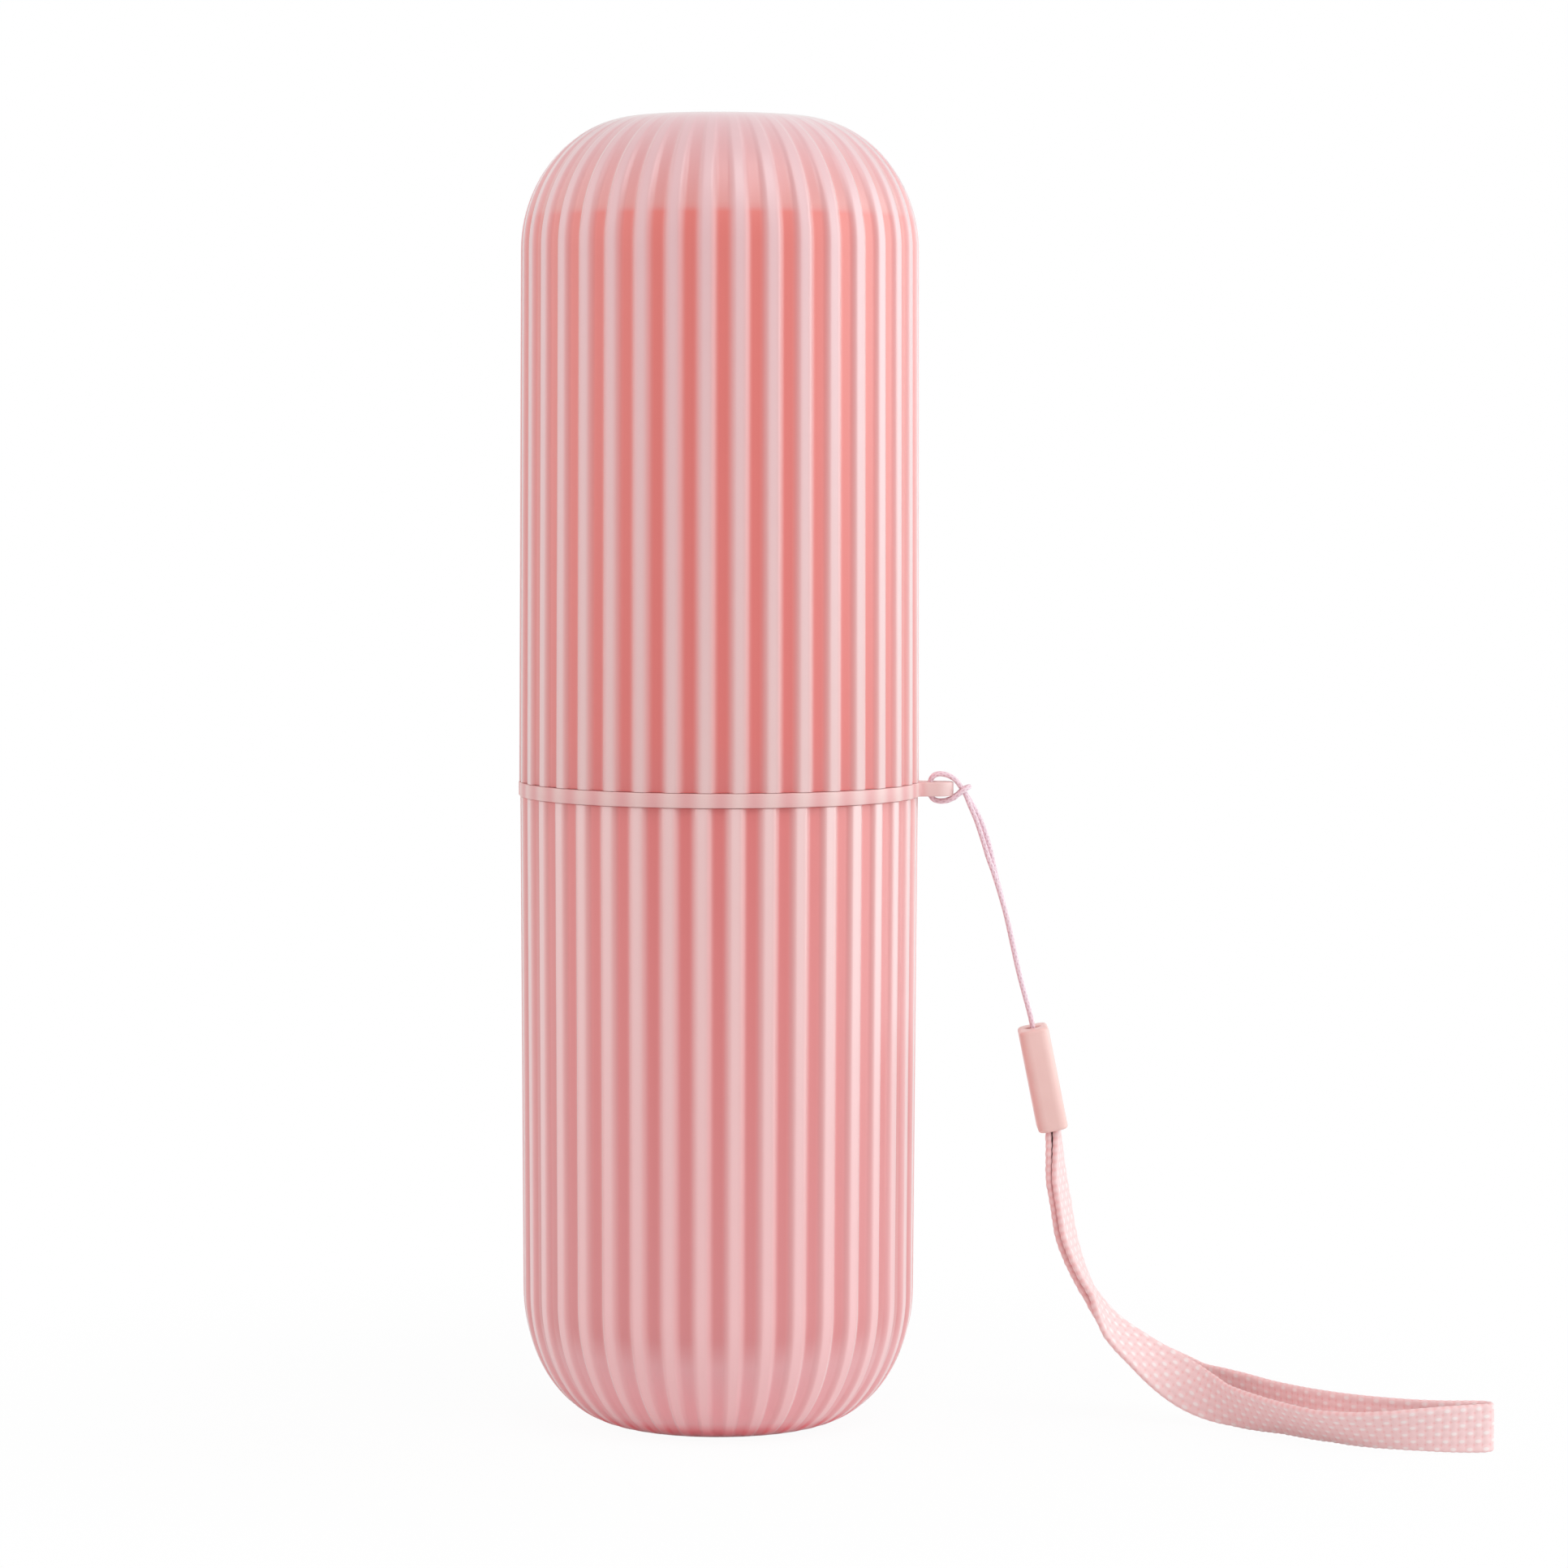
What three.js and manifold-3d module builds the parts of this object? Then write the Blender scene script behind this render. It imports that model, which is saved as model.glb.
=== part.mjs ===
// Travel toothbrush case: a ribbed capsule in two halves, each an outer shell round a smooth liner
// tube, with a swivel ring in the seam that carries a wrist lanyard.
// Millimetres, +Z up. The origin is the centre of the base, the lanyard hangs towards +X,
// and the front is -Y.

import * as THREE from 'three';
import { mergeVertices } from 'three/addons/utils/BufferGeometryUtils.js';
import loadManifold from 'manifold-3d';

const wasm = await loadManifold();
wasm.setup();

// Driving dimensions: the capsule
const CASE_HEIGHT = 196;
const SEAM_HEIGHT = 94.5; // base to the lower shell's rim
const COVER_RADIUS = 30; // over the ribs, at the cover's mouth
const COVER_TAPER = 0.3; // lost by the cover's radius between its mouth and its shoulder
const CROWN_RADIUS = 11.5; // flat top that the cover can stand on
const SHOULDER_HEIGHT = 20;
const BASE_STEP = 0.15; // lower shell's rim inside the cover's mouth, over the ribs
const BASE_TAPER = 0.43; // lost by the lower shell's radius between its rim and its foot curve
const FOOT_RADIUS = 14; // flat face that the case stands on
const FOOT_HEIGHT = 20.4;

// Driving dimensions: ribs and walls
const RIB_COUNT = 38;
const RIB_HEIGHT = 0.55;
const RIB_CREST_WIDTH = 1.8;
const RIB_ROOT_WIDTH = 2.8;
const RIB_TURN_DEG = 1.2; // from the front to the nearest groove, towards +X
const SHELL_WALL = 1.2; // under a groove
const LINER_GAP = 0.3;
const LINER_WALL = 1;
const CROWN_SPACE = 14.5; // crown to the cover liner's upper end
const FOOT_SPACE = 12.5; // base to the lower liner's lower end
const NECK_HEIGHT = 8.5; // neck of the lower liner above the seam
const NECK_GAP = 0.3; // neck to the cover liner, all round
const NECK_SLOPE = 1.2; // height of the slope inside the liner, below the neck
const NECK_ROOT = 1; // wall under the neck's shoulder

// Driving dimensions: swivel ring and lug
const RING_HEIGHT = 2.1;
const RING_PLAY = 0.15; // above and below the ring
const RING_GAP = 0.3; // ring to neck, all round
const RING_PROUD = 0.1; // past the cover's ribs
const LUG_REACH = 5.1; // past the ring
const LUG_WIDTH = 5.2;
const LUG_HOLE_DIAMETER = 2.1;
const LUG_HOLE_OFFSET = 1.55; // ring edge to the hole's centre

// Driving dimensions: lanyard
const CORD_DIAMETER = 0.75;
const CORD_GAP = 0.3; // between cord and whatever it meets
const HITCH_BOW = 1.15; // cord's centre above and below the lug
const HITCH_SLACK = 1.3; // cord's centre past the lug's tip
const KNOT_DIAMETER = 2.7;
const SLEEVE_TOP = [12.1, 0, 59.7]; // centre of the sleeve's upper end, x from the lug's tip
const SLEEVE_TILT_DEG = 11.4;
const SLEEVE_LENGTH = 15.6;
const SLEEVE_WALL = 0.6;
const SLEEVE_ROOF = 1.4;
const SLEEVE_CORNER = 1.5; // radius of its long edges
const SLEEVE_BEVEL = 0.5; // at both ends
const STRAP_WIDTH = 7.4;
const STRAP_THICKNESS = 1.1;
const STRAP_GAP = 0.3; // strap to sleeve
const STRAP_LAYER_GAP = 0.5; // between its two layers in the sleeve
const STRAP_TUCK = 7; // length of each strap end inside the sleeve

// The cord's two strands, from the lug down to the sleeve: x from the lug's tip, z,
// and half the strands' spread along x
const STRAND_ROUTE = [
  [3.8, 90.9, 0.2],
  [5.1, 87.3, 0.3],
  [6.2, 83.0, 0.3],
  [8.1, 76.3, 0.1],
  [10.0, 67.9, 0],
];

// The strap's loop: a point on its centre line, x from the lug's tip, then the way its front edge faces.
// It leaves the sleeve edge on, turns on its edge as it comes down, and lies on the table.
const STRAP_ROUTE = [
  [14.5, 0, 36.8, 0, -1, 0],
  [14.6, 0, 34.2, 0, -1, 0],
  [15.8, 0, 28.0, 0, -1, 0],
  [17.9, 0, 22.7, 0, -1, 0.02],
  [20.4, 0, 18.4, 0.05, -1, 0.1],
  [24.9, -0.3, 12.4, 0.28, -0.9, 0.32],
  [30.2, -1.2, 8.1, 0.3, -0.7, 0.6],
  [35.4, -3.2, 5.4, 0.1, -0.6, 0.8],
  [40.6, -6.8, 3.9, -0.3, -0.45, 0.84],
  [47.7, -15.0, 3.35, -0.5, -0.44, 0.75],
  [54.2, -22.4, 3.25, -0.44, -0.55, 0.71],
  [59.0, -25.7, 3.35, -0.3, -0.57, 0.77],
  [63.9, -27.4, 3.6, -0.17, -0.5, 0.85],
  [68.7, -28.0, 3.82, -0.05, -0.34, 0.94],
  [73.3, -27.7, 3.85, 0, -0.14, 0.99],
  [76.8, -27.1, 3.85, 0, 0, 1],
  [78.0, -26.6, 3.85, 0, 0, 1],
  [78.4, -25.7, 3.85, 0, 0, 1],
  [78.0, -24.8, 3.85, 0, 0, 1],
  [76.8, -24.3, 3.85, 0, 0, 1],
  [71.2, -24.2, 3.85, 0, 0, 1],
  [64.7, -22.4, 3.85, 0, 0, 1],
  [56.0, -17.0, 3.85, 0, 0, 1],
  [48.6, -8.7, 3.95, -0.05, -0.1, 0.99],
  [42.7, -2.6, 4.9, 0, -0.3, 0.95],
  [37.2, 0.5, 6.9, 0.15, -0.55, 0.82],
  [31.4, 0.9, 10.2, 0.32, -0.72, 0.6],
  [26.2, 0.4, 14.2, 0.28, -0.9, 0.32],
  [21.8, 0, 19.4, 0.05, -1, 0.1],
  [19.9, 0, 23.5, 0, -1, 0.02],
  [18.6, 0, 28.8, 0, -1, 0],
  [17.8, 0, 34.6, 0, -1, 0],
  [17.1, 0, 37.2, 0, -1, 0],
];

// Smoothness of round stretches
const ROUND_SEGMENTS = 64; // round the case's axis
const CURVE_STEPS = 6; // up the shoulder and the foot curve
const CORNER_STEPS = 3; // round the sleeve's edges
const HOLE_SEGMENTS = 16;
const KNOT_SEGMENTS = 12;
const CORD_SIDES = 8;
const STRAND_STEPS = 22;
const HITCH_STEPS = 30;
const STRAP_STEPS = 74;
const CUT_MARGIN = 1; // a cutting solid reaches this far past what it cuts

// Heights and radii that follow from the driving dimensions
const ringBottom = SEAM_HEIGHT + RING_PLAY;
const ringTop = ringBottom + RING_HEIGHT;
const coverRim = ringTop + RING_PLAY;
const baseRadius = COVER_RADIUS - BASE_STEP;
const ringOuter = COVER_RADIUS + RING_PROUD;
const lugTip = ringOuter + LUG_REACH;
const lugHole = ringOuter + LUG_HOLE_OFFSET;
const lugMiddle = (ringBottom + ringTop) / 2;
const innerInset = RIB_HEIGHT + SHELL_WALL; // envelope to a shell's inner face
const linerInset = innerInset + LINER_GAP; // envelope to a liner's outer face
const cavityInset = linerInset + LINER_WALL; // envelope to a liner's inner face
const neckTop = SEAM_HEIGHT + NECK_HEIGHT;
const layerSpacing = STRAP_THICKNESS + STRAP_LAYER_GAP;
const strandSpacing = CORD_DIAMETER + CORD_GAP;

// Geometry helpers

function solidOf(geometry) {
  const bare = geometry.clone();
  bare.deleteAttribute('normal');
  bare.deleteAttribute('uv');
  const merged = mergeVertices(bare, 1e-4);
  const vertProperties = new Float32Array(merged.attributes.position.array);
  const triVerts = new Uint32Array(merged.index.array);
  return new wasm.Manifold(new wasm.Mesh({ numProp: 3, vertProperties, triVerts }));
}

function geometryOf(solid) {
  const mesh = solid.getMesh();
  const geometry = new THREE.BufferGeometry();
  geometry.setAttribute('position', new THREE.BufferAttribute(new Float32Array(mesh.vertProperties), 3));
  geometry.setIndex(new THREE.BufferAttribute(new Uint32Array(mesh.triVerts), 1));
  geometry.computeVertexNormals();
  return geometry;
}

// A closed skin over rings of equal count, each running anticlockwise seen from the last ring.
function loft(rings) {
  const count = rings[0].length;
  const centres = [rings[0], rings.at(-1)].map((ring) =>
    ring.reduce((sum, point) => sum.add(point), new THREE.Vector3()).divideScalar(count));
  const points = [...rings.flat(), ...centres];
  const firstCentre = points.length - 2;
  const lastCentre = points.length - 1;
  const lastRing = (rings.length - 1) * count;
  const faces = [];
  for (let j = 0; j < count; j += 1) {
    const k = (j + 1) % count;
    faces.push(firstCentre, k, j);
    for (let a = 0; a < lastRing; a += count) {
      faces.push(a + j, a + k, a + count + k, a + j, a + count + k, a + count + j);
    }
    faces.push(lastCentre, lastRing + j, lastRing + k);
  }
  const geometry = new THREE.BufferGeometry().setFromPoints(points);
  geometry.setIndex(faces);
  geometry.computeVertexNormals();
  return geometry;
}

// A solid of revolution about Z from a profile of [radius, height] that runs upwards on its outside.
function turned(profile) {
  const points = profile.map(([radius, height]) => new THREE.Vector2(radius, height));
  return new THREE.LatheGeometry(points, ROUND_SEGMENTS).rotateX(Math.PI / 2);
}

function tube(curve, steps) {
  const section = new THREE.Shape();
  for (let i = 0; i < CORD_SIDES; i += 1) {
    const angle = (2 * Math.PI * i) / CORD_SIDES;
    const x = (CORD_DIAMETER / 2) * Math.cos(angle);
    const y = (CORD_DIAMETER / 2) * Math.sin(angle);
    if (i === 0) section.moveTo(x, y);
    else section.lineTo(x, y);
  }
  return new THREE.ExtrudeGeometry(section, { steps, extrudePath: curve, bevelEnabled: false });
}

// The capsule's envelope over the ribs. Each half is a list from its mouth to its closed end
// of { radius, height, out }, where out is the outward direction as [radial, upward].

function envelope(mouth, mouthRadius, curveStart, curveRadius, end, endRadius) {
  const side = Math.sign(end - mouth);
  const wallLength = Math.abs(curveStart - mouth);
  const lean = Math.atan2(mouthRadius - curveRadius, wallLength);
  const points = [{ radius: mouthRadius, height: mouth, out: [Math.cos(lean), side * Math.sin(lean)] }];
  const across = curveRadius - endRadius;
  const along = end - curveStart;
  for (let i = 0; i <= CURVE_STEPS; i += 1) {
    const angle = (Math.PI / 2) * (i / CURVE_STEPS);
    const out = new THREE.Vector2(Math.cos(angle) / across, Math.sin(angle) / along).normalize();
    points.push({
      radius: endRadius + across * Math.cos(angle),
      height: curveStart + along * Math.sin(angle),
      out: [out.x, out.y],
    });
  }
  return points;
}

const coverEnvelope = envelope(coverRim, COVER_RADIUS, CASE_HEIGHT - SHOULDER_HEIGHT,
  COVER_RADIUS - COVER_TAPER, CASE_HEIGHT, CROWN_RADIUS);
const baseEnvelope = envelope(SEAM_HEIGHT, baseRadius, FOOT_HEIGHT,
  baseRadius - BASE_TAPER, 0, FOOT_RADIUS);

// The envelope moved inwards, as [radius, height] points from the mouth, whose own height is kept.
function inset(points, distance) {
  return points.map(({ radius, height, out }, i) =>
    [radius - distance * out[0], i === 0 ? height : height - distance * out[1]]);
}

// A profile cut off level before it passes a height, with a point on that height.
function cutAt(profile, height) {
  const side = Math.sign(profile.at(-1)[1] - profile[0][1]);
  const next = profile.findIndex((point) => side * (point[1] - height) >= 0);
  const [r0, z0] = profile[next - 1];
  const [r1, z1] = profile[next];
  const radius = r0 + ((r1 - r0) * (height - z0)) / (z1 - z0);
  return [...profile.slice(0, next), [radius, height]];
}

// Outer shells: ribs run from rim to closed end, and the grooves between them run out at the flat end.

function ribbedRings(points) {
  const pitch = (2 * Math.PI) / RIB_COUNT;
  const crest = RIB_CREST_WIDTH / COVER_RADIUS / 2;
  const root = RIB_ROOT_WIDTH / COVER_RADIUS / 2;
  const firstGroove = -Math.PI / 2 + THREE.MathUtils.degToRad(RIB_TURN_DEG);
  return points.map(({ radius, height, out }, i) => {
    const depth = i === points.length - 1 ? 0 : RIB_HEIGHT;
    const rise = i === 0 ? 0 : out[1];
    const ring = [];
    for (let k = 0; k < RIB_COUNT; k += 1) {
      const middle = firstGroove + (k + 0.5) * pitch;
      for (const [turn, drop] of [[-root, depth], [-crest, 0], [crest, 0], [root, depth]]) {
        const r = radius - drop * out[0];
        const angle = middle + turn;
        ring.push(new THREE.Vector3(r * Math.cos(angle), r * Math.sin(angle), height - drop * rise));
      }
    }
    return ring;
  });
}

function shell(points) {
  const upwards = points[0].height < points.at(-1).height;
  const rings = ribbedRings(points);
  const hollow = inset(points, innerInset);
  const [mouthRadius, mouth] = hollow[0];
  const past = upwards ? mouth - CUT_MARGIN : mouth + CUT_MARGIN;
  const profile = [[0, past], [mouthRadius, past], ...hollow, [0, hollow.at(-1)[1]]];
  const outside = loft(upwards ? rings : rings.toReversed());
  const inside = turned(upwards ? profile : profile.toReversed());
  return geometryOf(solidOf(outside).subtract(solidOf(inside)));
}

// Liners: smooth open tubes that follow the shells' inner faces and stop short of the closed ends,
// so the full height inside the shells stays free for a toothbrush.

function coverLiner() {
  const end = CASE_HEIGHT - CROWN_SPACE;
  const outside = cutAt(inset(coverEnvelope, linerInset), end);
  const inside = cutAt(inset(coverEnvelope, cavityInset), end);
  return turned([...inside.toReversed(), ...outside, inside.at(-1)]);
}

// The neck plugs into the cover liner, so it follows that liner's bore at the neck's top.
const coverWall = CASE_HEIGHT - SHOULDER_HEIGHT - coverRim;
const taperAtNeck = (COVER_TAPER * (neckTop - coverRim)) / coverWall;
const neckRadius = COVER_RADIUS - taperAtNeck - cavityInset - NECK_GAP;

function baseLiner() {
  const outside = cutAt(inset(baseEnvelope, linerInset), FOOT_SPACE);
  const inside = cutAt(inset(baseEnvelope, cavityInset), FOOT_SPACE);
  const slopeTop = SEAM_HEIGHT - NECK_ROOT;
  inside[0] = [inside[0][0], slopeTop - NECK_SLOPE];
  const neck = [
    [neckRadius, SEAM_HEIGHT],
    [neckRadius, neckTop],
    [neckRadius - LINER_WALL, neckTop],
    [neckRadius - LINER_WALL, slopeTop],
  ];
  return turned([...outside.toReversed(), ...neck, ...inside, outside.at(-1)]);
}

// Swivel ring: it lies on the lower rim, round the neck, and the cover's rim keeps it there.

function strapRing() {
  const inner = neckRadius + RING_GAP;
  const band = turned([[inner, ringTop], [inner, ringBottom], [ringOuter, ringBottom],
    [ringOuter, ringTop], [inner, ringTop]]);
  const root = (inner + ringOuter) / 2;
  const roundCentre = lugTip - LUG_WIDTH / 2;
  const outline = new THREE.Shape();
  outline.moveTo(root, -LUG_WIDTH / 2);
  outline.lineTo(roundCentre, -LUG_WIDTH / 2);
  outline.absarc(roundCentre, 0, LUG_WIDTH / 2, -Math.PI / 2, Math.PI / 2, false);
  outline.lineTo(root, LUG_WIDTH / 2);
  const lug = new THREE.ExtrudeGeometry(outline,
    { depth: RING_HEIGHT, bevelEnabled: false, curveSegments: HOLE_SEGMENTS });
  lug.translate(0, 0, ringBottom);
  const hole = new THREE.CylinderGeometry(LUG_HOLE_DIAMETER / 2, LUG_HOLE_DIAMETER / 2,
    RING_HEIGHT + 2 * CUT_MARGIN, HOLE_SEGMENTS);
  hole.rotateX(Math.PI / 2);
  hole.translate(lugHole, 0, lugMiddle);
  return geometryOf(solidOf(band).add(solidOf(lug)).subtract(solidOf(hole)));
}

// Cord: a loop through the lug's hole and round its tip, then two strands down to the sleeve.

function hitchPoints() {
  const half = RING_HEIGHT / 2;
  const over = [
    [lugHole + LUG_HOLE_DIAMETER * 0.1, half + HITCH_BOW * 0.5],
    [lugHole + LUG_HOLE_DIAMETER * 0.6, half + HITCH_BOW],
    [lugTip - HITCH_SLACK * 0.7, half + HITCH_BOW * 0.95],
    [lugTip + HITCH_SLACK * 0.55, half + HITCH_BOW * 0.3],
  ];
  const under = over.map(([x, up]) => [x, -up]).toReversed();
  return [[lugHole, 0], ...over, [lugTip + HITCH_SLACK, 0], ...under].map(([x, up]) =>
    new THREE.Vector3(x, 0, lugMiddle + up));
}

function hitch() {
  const curve = new THREE.CatmullRomCurve3(hitchPoints(), true);
  return new THREE.TubeGeometry(curve, HITCH_STEPS, CORD_DIAMETER / 2, CORD_SIDES, true);
}

// The sleeve's own frame: its upper end at the origin, its length down -Z, its flat sides facing X.
const sleeveFrame = new THREE.Group();
sleeveFrame.position.set(...SLEEVE_TOP).add(new THREE.Vector3(lugTip, 0, 0));
sleeveFrame.rotation.y = -THREE.MathUtils.degToRad(SLEEVE_TILT_DEG);
sleeveFrame.updateMatrixWorld();

function inSleeve(x, y, depth) {
  return sleeveFrame.localToWorld(new THREE.Vector3(x, y, -depth));
}

const strandStart = [lugTip + HITCH_SLACK + CORD_DIAMETER * 0.8, ringBottom - CORD_DIAMETER * 0.3];

function strand(side) {
  const y = (side * strandSpacing) / 2;
  const [startX, startZ] = strandStart;
  const free = STRAND_ROUTE.map(([x, z, spread]) =>
    new THREE.Vector3(lugTip + x + side * spread, y, z));
  const route = [new THREE.Vector3(startX, y, startZ), ...free,
    inSleeve(0, y, -2 * CORD_DIAMETER), inSleeve(0, y, SLEEVE_ROOF)];
  return tube(new THREE.CatmullRomCurve3(route), STRAND_STEPS);
}

const knotDepth = SLEEVE_ROOF + CORD_GAP + KNOT_DIAMETER / 2;

function cordKnot() {
  return new THREE.SphereGeometry(KNOT_DIAMETER / 2, KNOT_SEGMENTS, KNOT_SEGMENTS / 2);
}

// Sleeve: a flat moulded tube. Its roof has the cord's hole, and its slot takes both strap layers.

const slotThickness = STRAP_THICKNESS + layerSpacing + 2 * STRAP_GAP;
const slotWidth = STRAP_WIDTH + 2 * STRAP_GAP;

function roundedSection(thickness, width, corner, depth) {
  const ring = [];
  for (let quarter = 0; quarter < 4; quarter += 1) {
    const signX = quarter === 0 || quarter === 3 ? 1 : -1;
    const signY = quarter < 2 ? 1 : -1;
    for (let i = 0; i <= CORNER_STEPS; i += 1) {
      const angle = (Math.PI / 2) * (quarter + i / CORNER_STEPS);
      const x = signX * (thickness / 2 - corner) + corner * Math.cos(angle);
      const y = signY * (width / 2 - corner) + corner * Math.sin(angle);
      ring.push(new THREE.Vector3(x, y, -depth));
    }
  }
  return ring;
}

function sleeve() {
  const thickness = slotThickness + 2 * SLEEVE_WALL;
  const width = slotWidth + 2 * SLEEVE_WALL;
  const small = 2 * SLEEVE_BEVEL;
  const endSection = (depth) =>
    roundedSection(thickness - small, width - small, SLEEVE_CORNER - SLEEVE_BEVEL, depth);
  const outside = loft([
    endSection(SLEEVE_LENGTH),
    roundedSection(thickness, width, SLEEVE_CORNER, SLEEVE_LENGTH - SLEEVE_BEVEL),
    roundedSection(thickness, width, SLEEVE_CORNER, SLEEVE_BEVEL),
    endSection(0),
  ]);
  const slotCorner = SLEEVE_CORNER - SLEEVE_WALL;
  const slot = loft([
    roundedSection(slotThickness, slotWidth, slotCorner, SLEEVE_LENGTH + CUT_MARGIN),
    roundedSection(slotThickness, slotWidth, slotCorner, SLEEVE_ROOF),
  ]);
  const holeRadius = (strandSpacing + CORD_DIAMETER) / 2 + CORD_GAP;
  const holeLength = SLEEVE_ROOF + 2 * CUT_MARGIN;
  const hole = new THREE.CylinderGeometry(holeRadius, holeRadius, holeLength, HOLE_SEGMENTS);
  hole.rotateX(Math.PI / 2);
  hole.translate(0, 0, -SLEEVE_ROOF / 2);
  return geometryOf(solidOf(outside).subtract(solidOf(slot)).subtract(solidOf(hole)));
}

// Strap: one flat ribbon, both of whose ends are held in the sleeve.

function strap() {
  const tucked = (side) => [SLEEVE_LENGTH - STRAP_TUCK, SLEEVE_LENGTH].map((depth) => ({
    point: inSleeve((side * layerSpacing) / 2, 0, depth),
    edge: new THREE.Vector3(0, -1, 0),
  }));
  const free = STRAP_ROUTE.map(([x, y, z, edgeX, edgeY, edgeZ]) => ({
    point: new THREE.Vector3(lugTip + x, y, z),
    edge: new THREE.Vector3(edgeX, edgeY, edgeZ),
  }));
  const stations = [...tucked(-1), ...free, ...tucked(1).toReversed()];
  const curve = new THREE.CatmullRomCurve3(stations.map((station) => station.point));
  const rings = [];
  for (let i = 0; i <= STRAP_STEPS; i += 1) {
    const t = i / STRAP_STEPS;
    const place = t * (stations.length - 1);
    const before = Math.min(Math.floor(place), stations.length - 2);
    const point = curve.getPoint(t);
    const along = curve.getTangent(t);
    const edge = stations[before].edge.clone().lerp(stations[before + 1].edge, place - before);
    const through = edge.clone().cross(along).normalize();
    const across = along.clone().cross(through);
    rings.push([[1, -1], [1, 1], [-1, 1], [-1, -1]].map(([n, w]) => point.clone()
      .addScaledVector(through, (n * STRAP_THICKNESS) / 2)
      .addScaledVector(across, (w * STRAP_WIDTH) / 2)));
  }
  return loft(rings);
}

// Assembly

const SHELL_FINISH = { color: 0xeebfbf, roughness: 0.45 };
const LINER_FINISH = { color: 0xe4736c, roughness: 0.4 };
const RING_FINISH = { color: 0xe9b4b2, roughness: 0.45 };
const CORD_FINISH = { color: 0xe0bcc4, roughness: 0.9 };
const SLEEVE_FINISH = { color: 0xf0c3bd, roughness: 0.4 };
const STRAP_FINISH = { color: 0xecbcba, roughness: 0.95 };

function part(name, geometry, finish) {
  const mesh = new THREE.Mesh(geometry, new THREE.MeshStandardMaterial({ ...finish, metalness: 0 }));
  mesh.name = name;
  return mesh;
}

const toothbrushCase = new THREE.Group();
toothbrushCase.add(
  part('lower_shell', shell(baseEnvelope), SHELL_FINISH),
  part('lower_liner', baseLiner(), LINER_FINISH),
  part('upper_shell', shell(coverEnvelope), SHELL_FINISH),
  part('upper_liner', coverLiner(), LINER_FINISH),
  part('strap_ring', strapRing(), RING_FINISH),
  part('cord_hitch', hitch(), CORD_FINISH),
  part('cord_strand_left', strand(-1), CORD_FINISH),
  part('cord_strand_right', strand(1), CORD_FINISH),
  part('wrist_strap', strap(), STRAP_FINISH),
);

const knot = part('cord_knot', cordKnot(), CORD_FINISH);
knot.position.z = -knotDepth;
sleeveFrame.add(part('strap_sleeve', sleeve(), SLEEVE_FINISH), knot);
toothbrushCase.add(sleeveFrame);

export default toothbrushCase;
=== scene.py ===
# %% [markdown]
# # A ribbed travel case on a wrist lanyard
#
# The object is a slim capsule for a toothbrush. Each half is a thin ribbed shell of frosted pink
# plastic round a smooth coral tube, and the coral shows through in the grooves, where the shell is
# thinnest. A flat ring is trapped in the seam, and its lug carries a thin cord, a small moulded
# sleeve and a loop of woven strap.
#
# The packed parts come in first, as a fixed frame. Every piece below is drawn in metres in that
# same frame, so it lies where the real one does, and it stands for the plain part that it covers.

# %% Load the packed parts
import math

import bmesh
import bpy
import numpy as np
from mathutils import Matrix, Vector


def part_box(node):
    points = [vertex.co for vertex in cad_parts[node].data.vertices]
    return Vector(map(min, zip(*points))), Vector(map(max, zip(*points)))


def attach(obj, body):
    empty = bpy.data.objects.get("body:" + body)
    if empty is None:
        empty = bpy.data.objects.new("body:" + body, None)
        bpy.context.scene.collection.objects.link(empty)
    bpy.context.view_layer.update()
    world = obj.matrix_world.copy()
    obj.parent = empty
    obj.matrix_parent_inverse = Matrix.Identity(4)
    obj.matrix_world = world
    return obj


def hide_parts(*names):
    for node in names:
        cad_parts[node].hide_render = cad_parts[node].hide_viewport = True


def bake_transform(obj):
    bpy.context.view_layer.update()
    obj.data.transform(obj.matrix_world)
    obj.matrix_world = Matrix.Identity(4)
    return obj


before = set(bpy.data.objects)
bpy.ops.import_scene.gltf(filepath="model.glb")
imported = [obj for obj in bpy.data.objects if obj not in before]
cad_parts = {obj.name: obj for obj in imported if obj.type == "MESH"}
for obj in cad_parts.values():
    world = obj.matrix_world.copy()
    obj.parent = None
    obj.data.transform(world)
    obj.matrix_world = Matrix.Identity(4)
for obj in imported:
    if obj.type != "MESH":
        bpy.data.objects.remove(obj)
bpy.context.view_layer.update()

MM = 0.001
scene = bpy.context.scene
scene.view_settings.view_transform = "Standard"

# %% [markdown]
# ## The camera
#
# The picture was taken from well back with a long lens, a little above the middle of the case.
# The place, the tilt and a very slight roll were fitted to the outline of the case, whose height
# and width are known, so the camera can be set before anything is modelled and every piece judged
# through it.

# %% Camera
CAMERA_PLACE = Vector((9.74, -800, 147.3)) * MM
CAMERA_TILT = math.radians(3.646)
CAMERA_ROLL = math.radians(0.14)
PICTURE_PIXELS = 1932
LENS_PIXELS = 6573
SENSOR_WIDTH = 36

camera = bpy.data.objects.new("camera", bpy.data.cameras.new("camera"))
camera.data.sensor_width = SENSOR_WIDTH
camera.data.lens = SENSOR_WIDTH * LENS_PIXELS / PICTURE_PIXELS
camera.location = CAMERA_PLACE
camera.rotation_euler = (Matrix.Rotation(math.pi / 2 - CAMERA_TILT, 3, "X")
                         @ Matrix.Rotation(CAMERA_ROLL, 3, "Z")).to_euler()
scene.collection.objects.link(camera)
scene.camera = camera
print("lens, mm:", round(camera.data.lens, 1))

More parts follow.
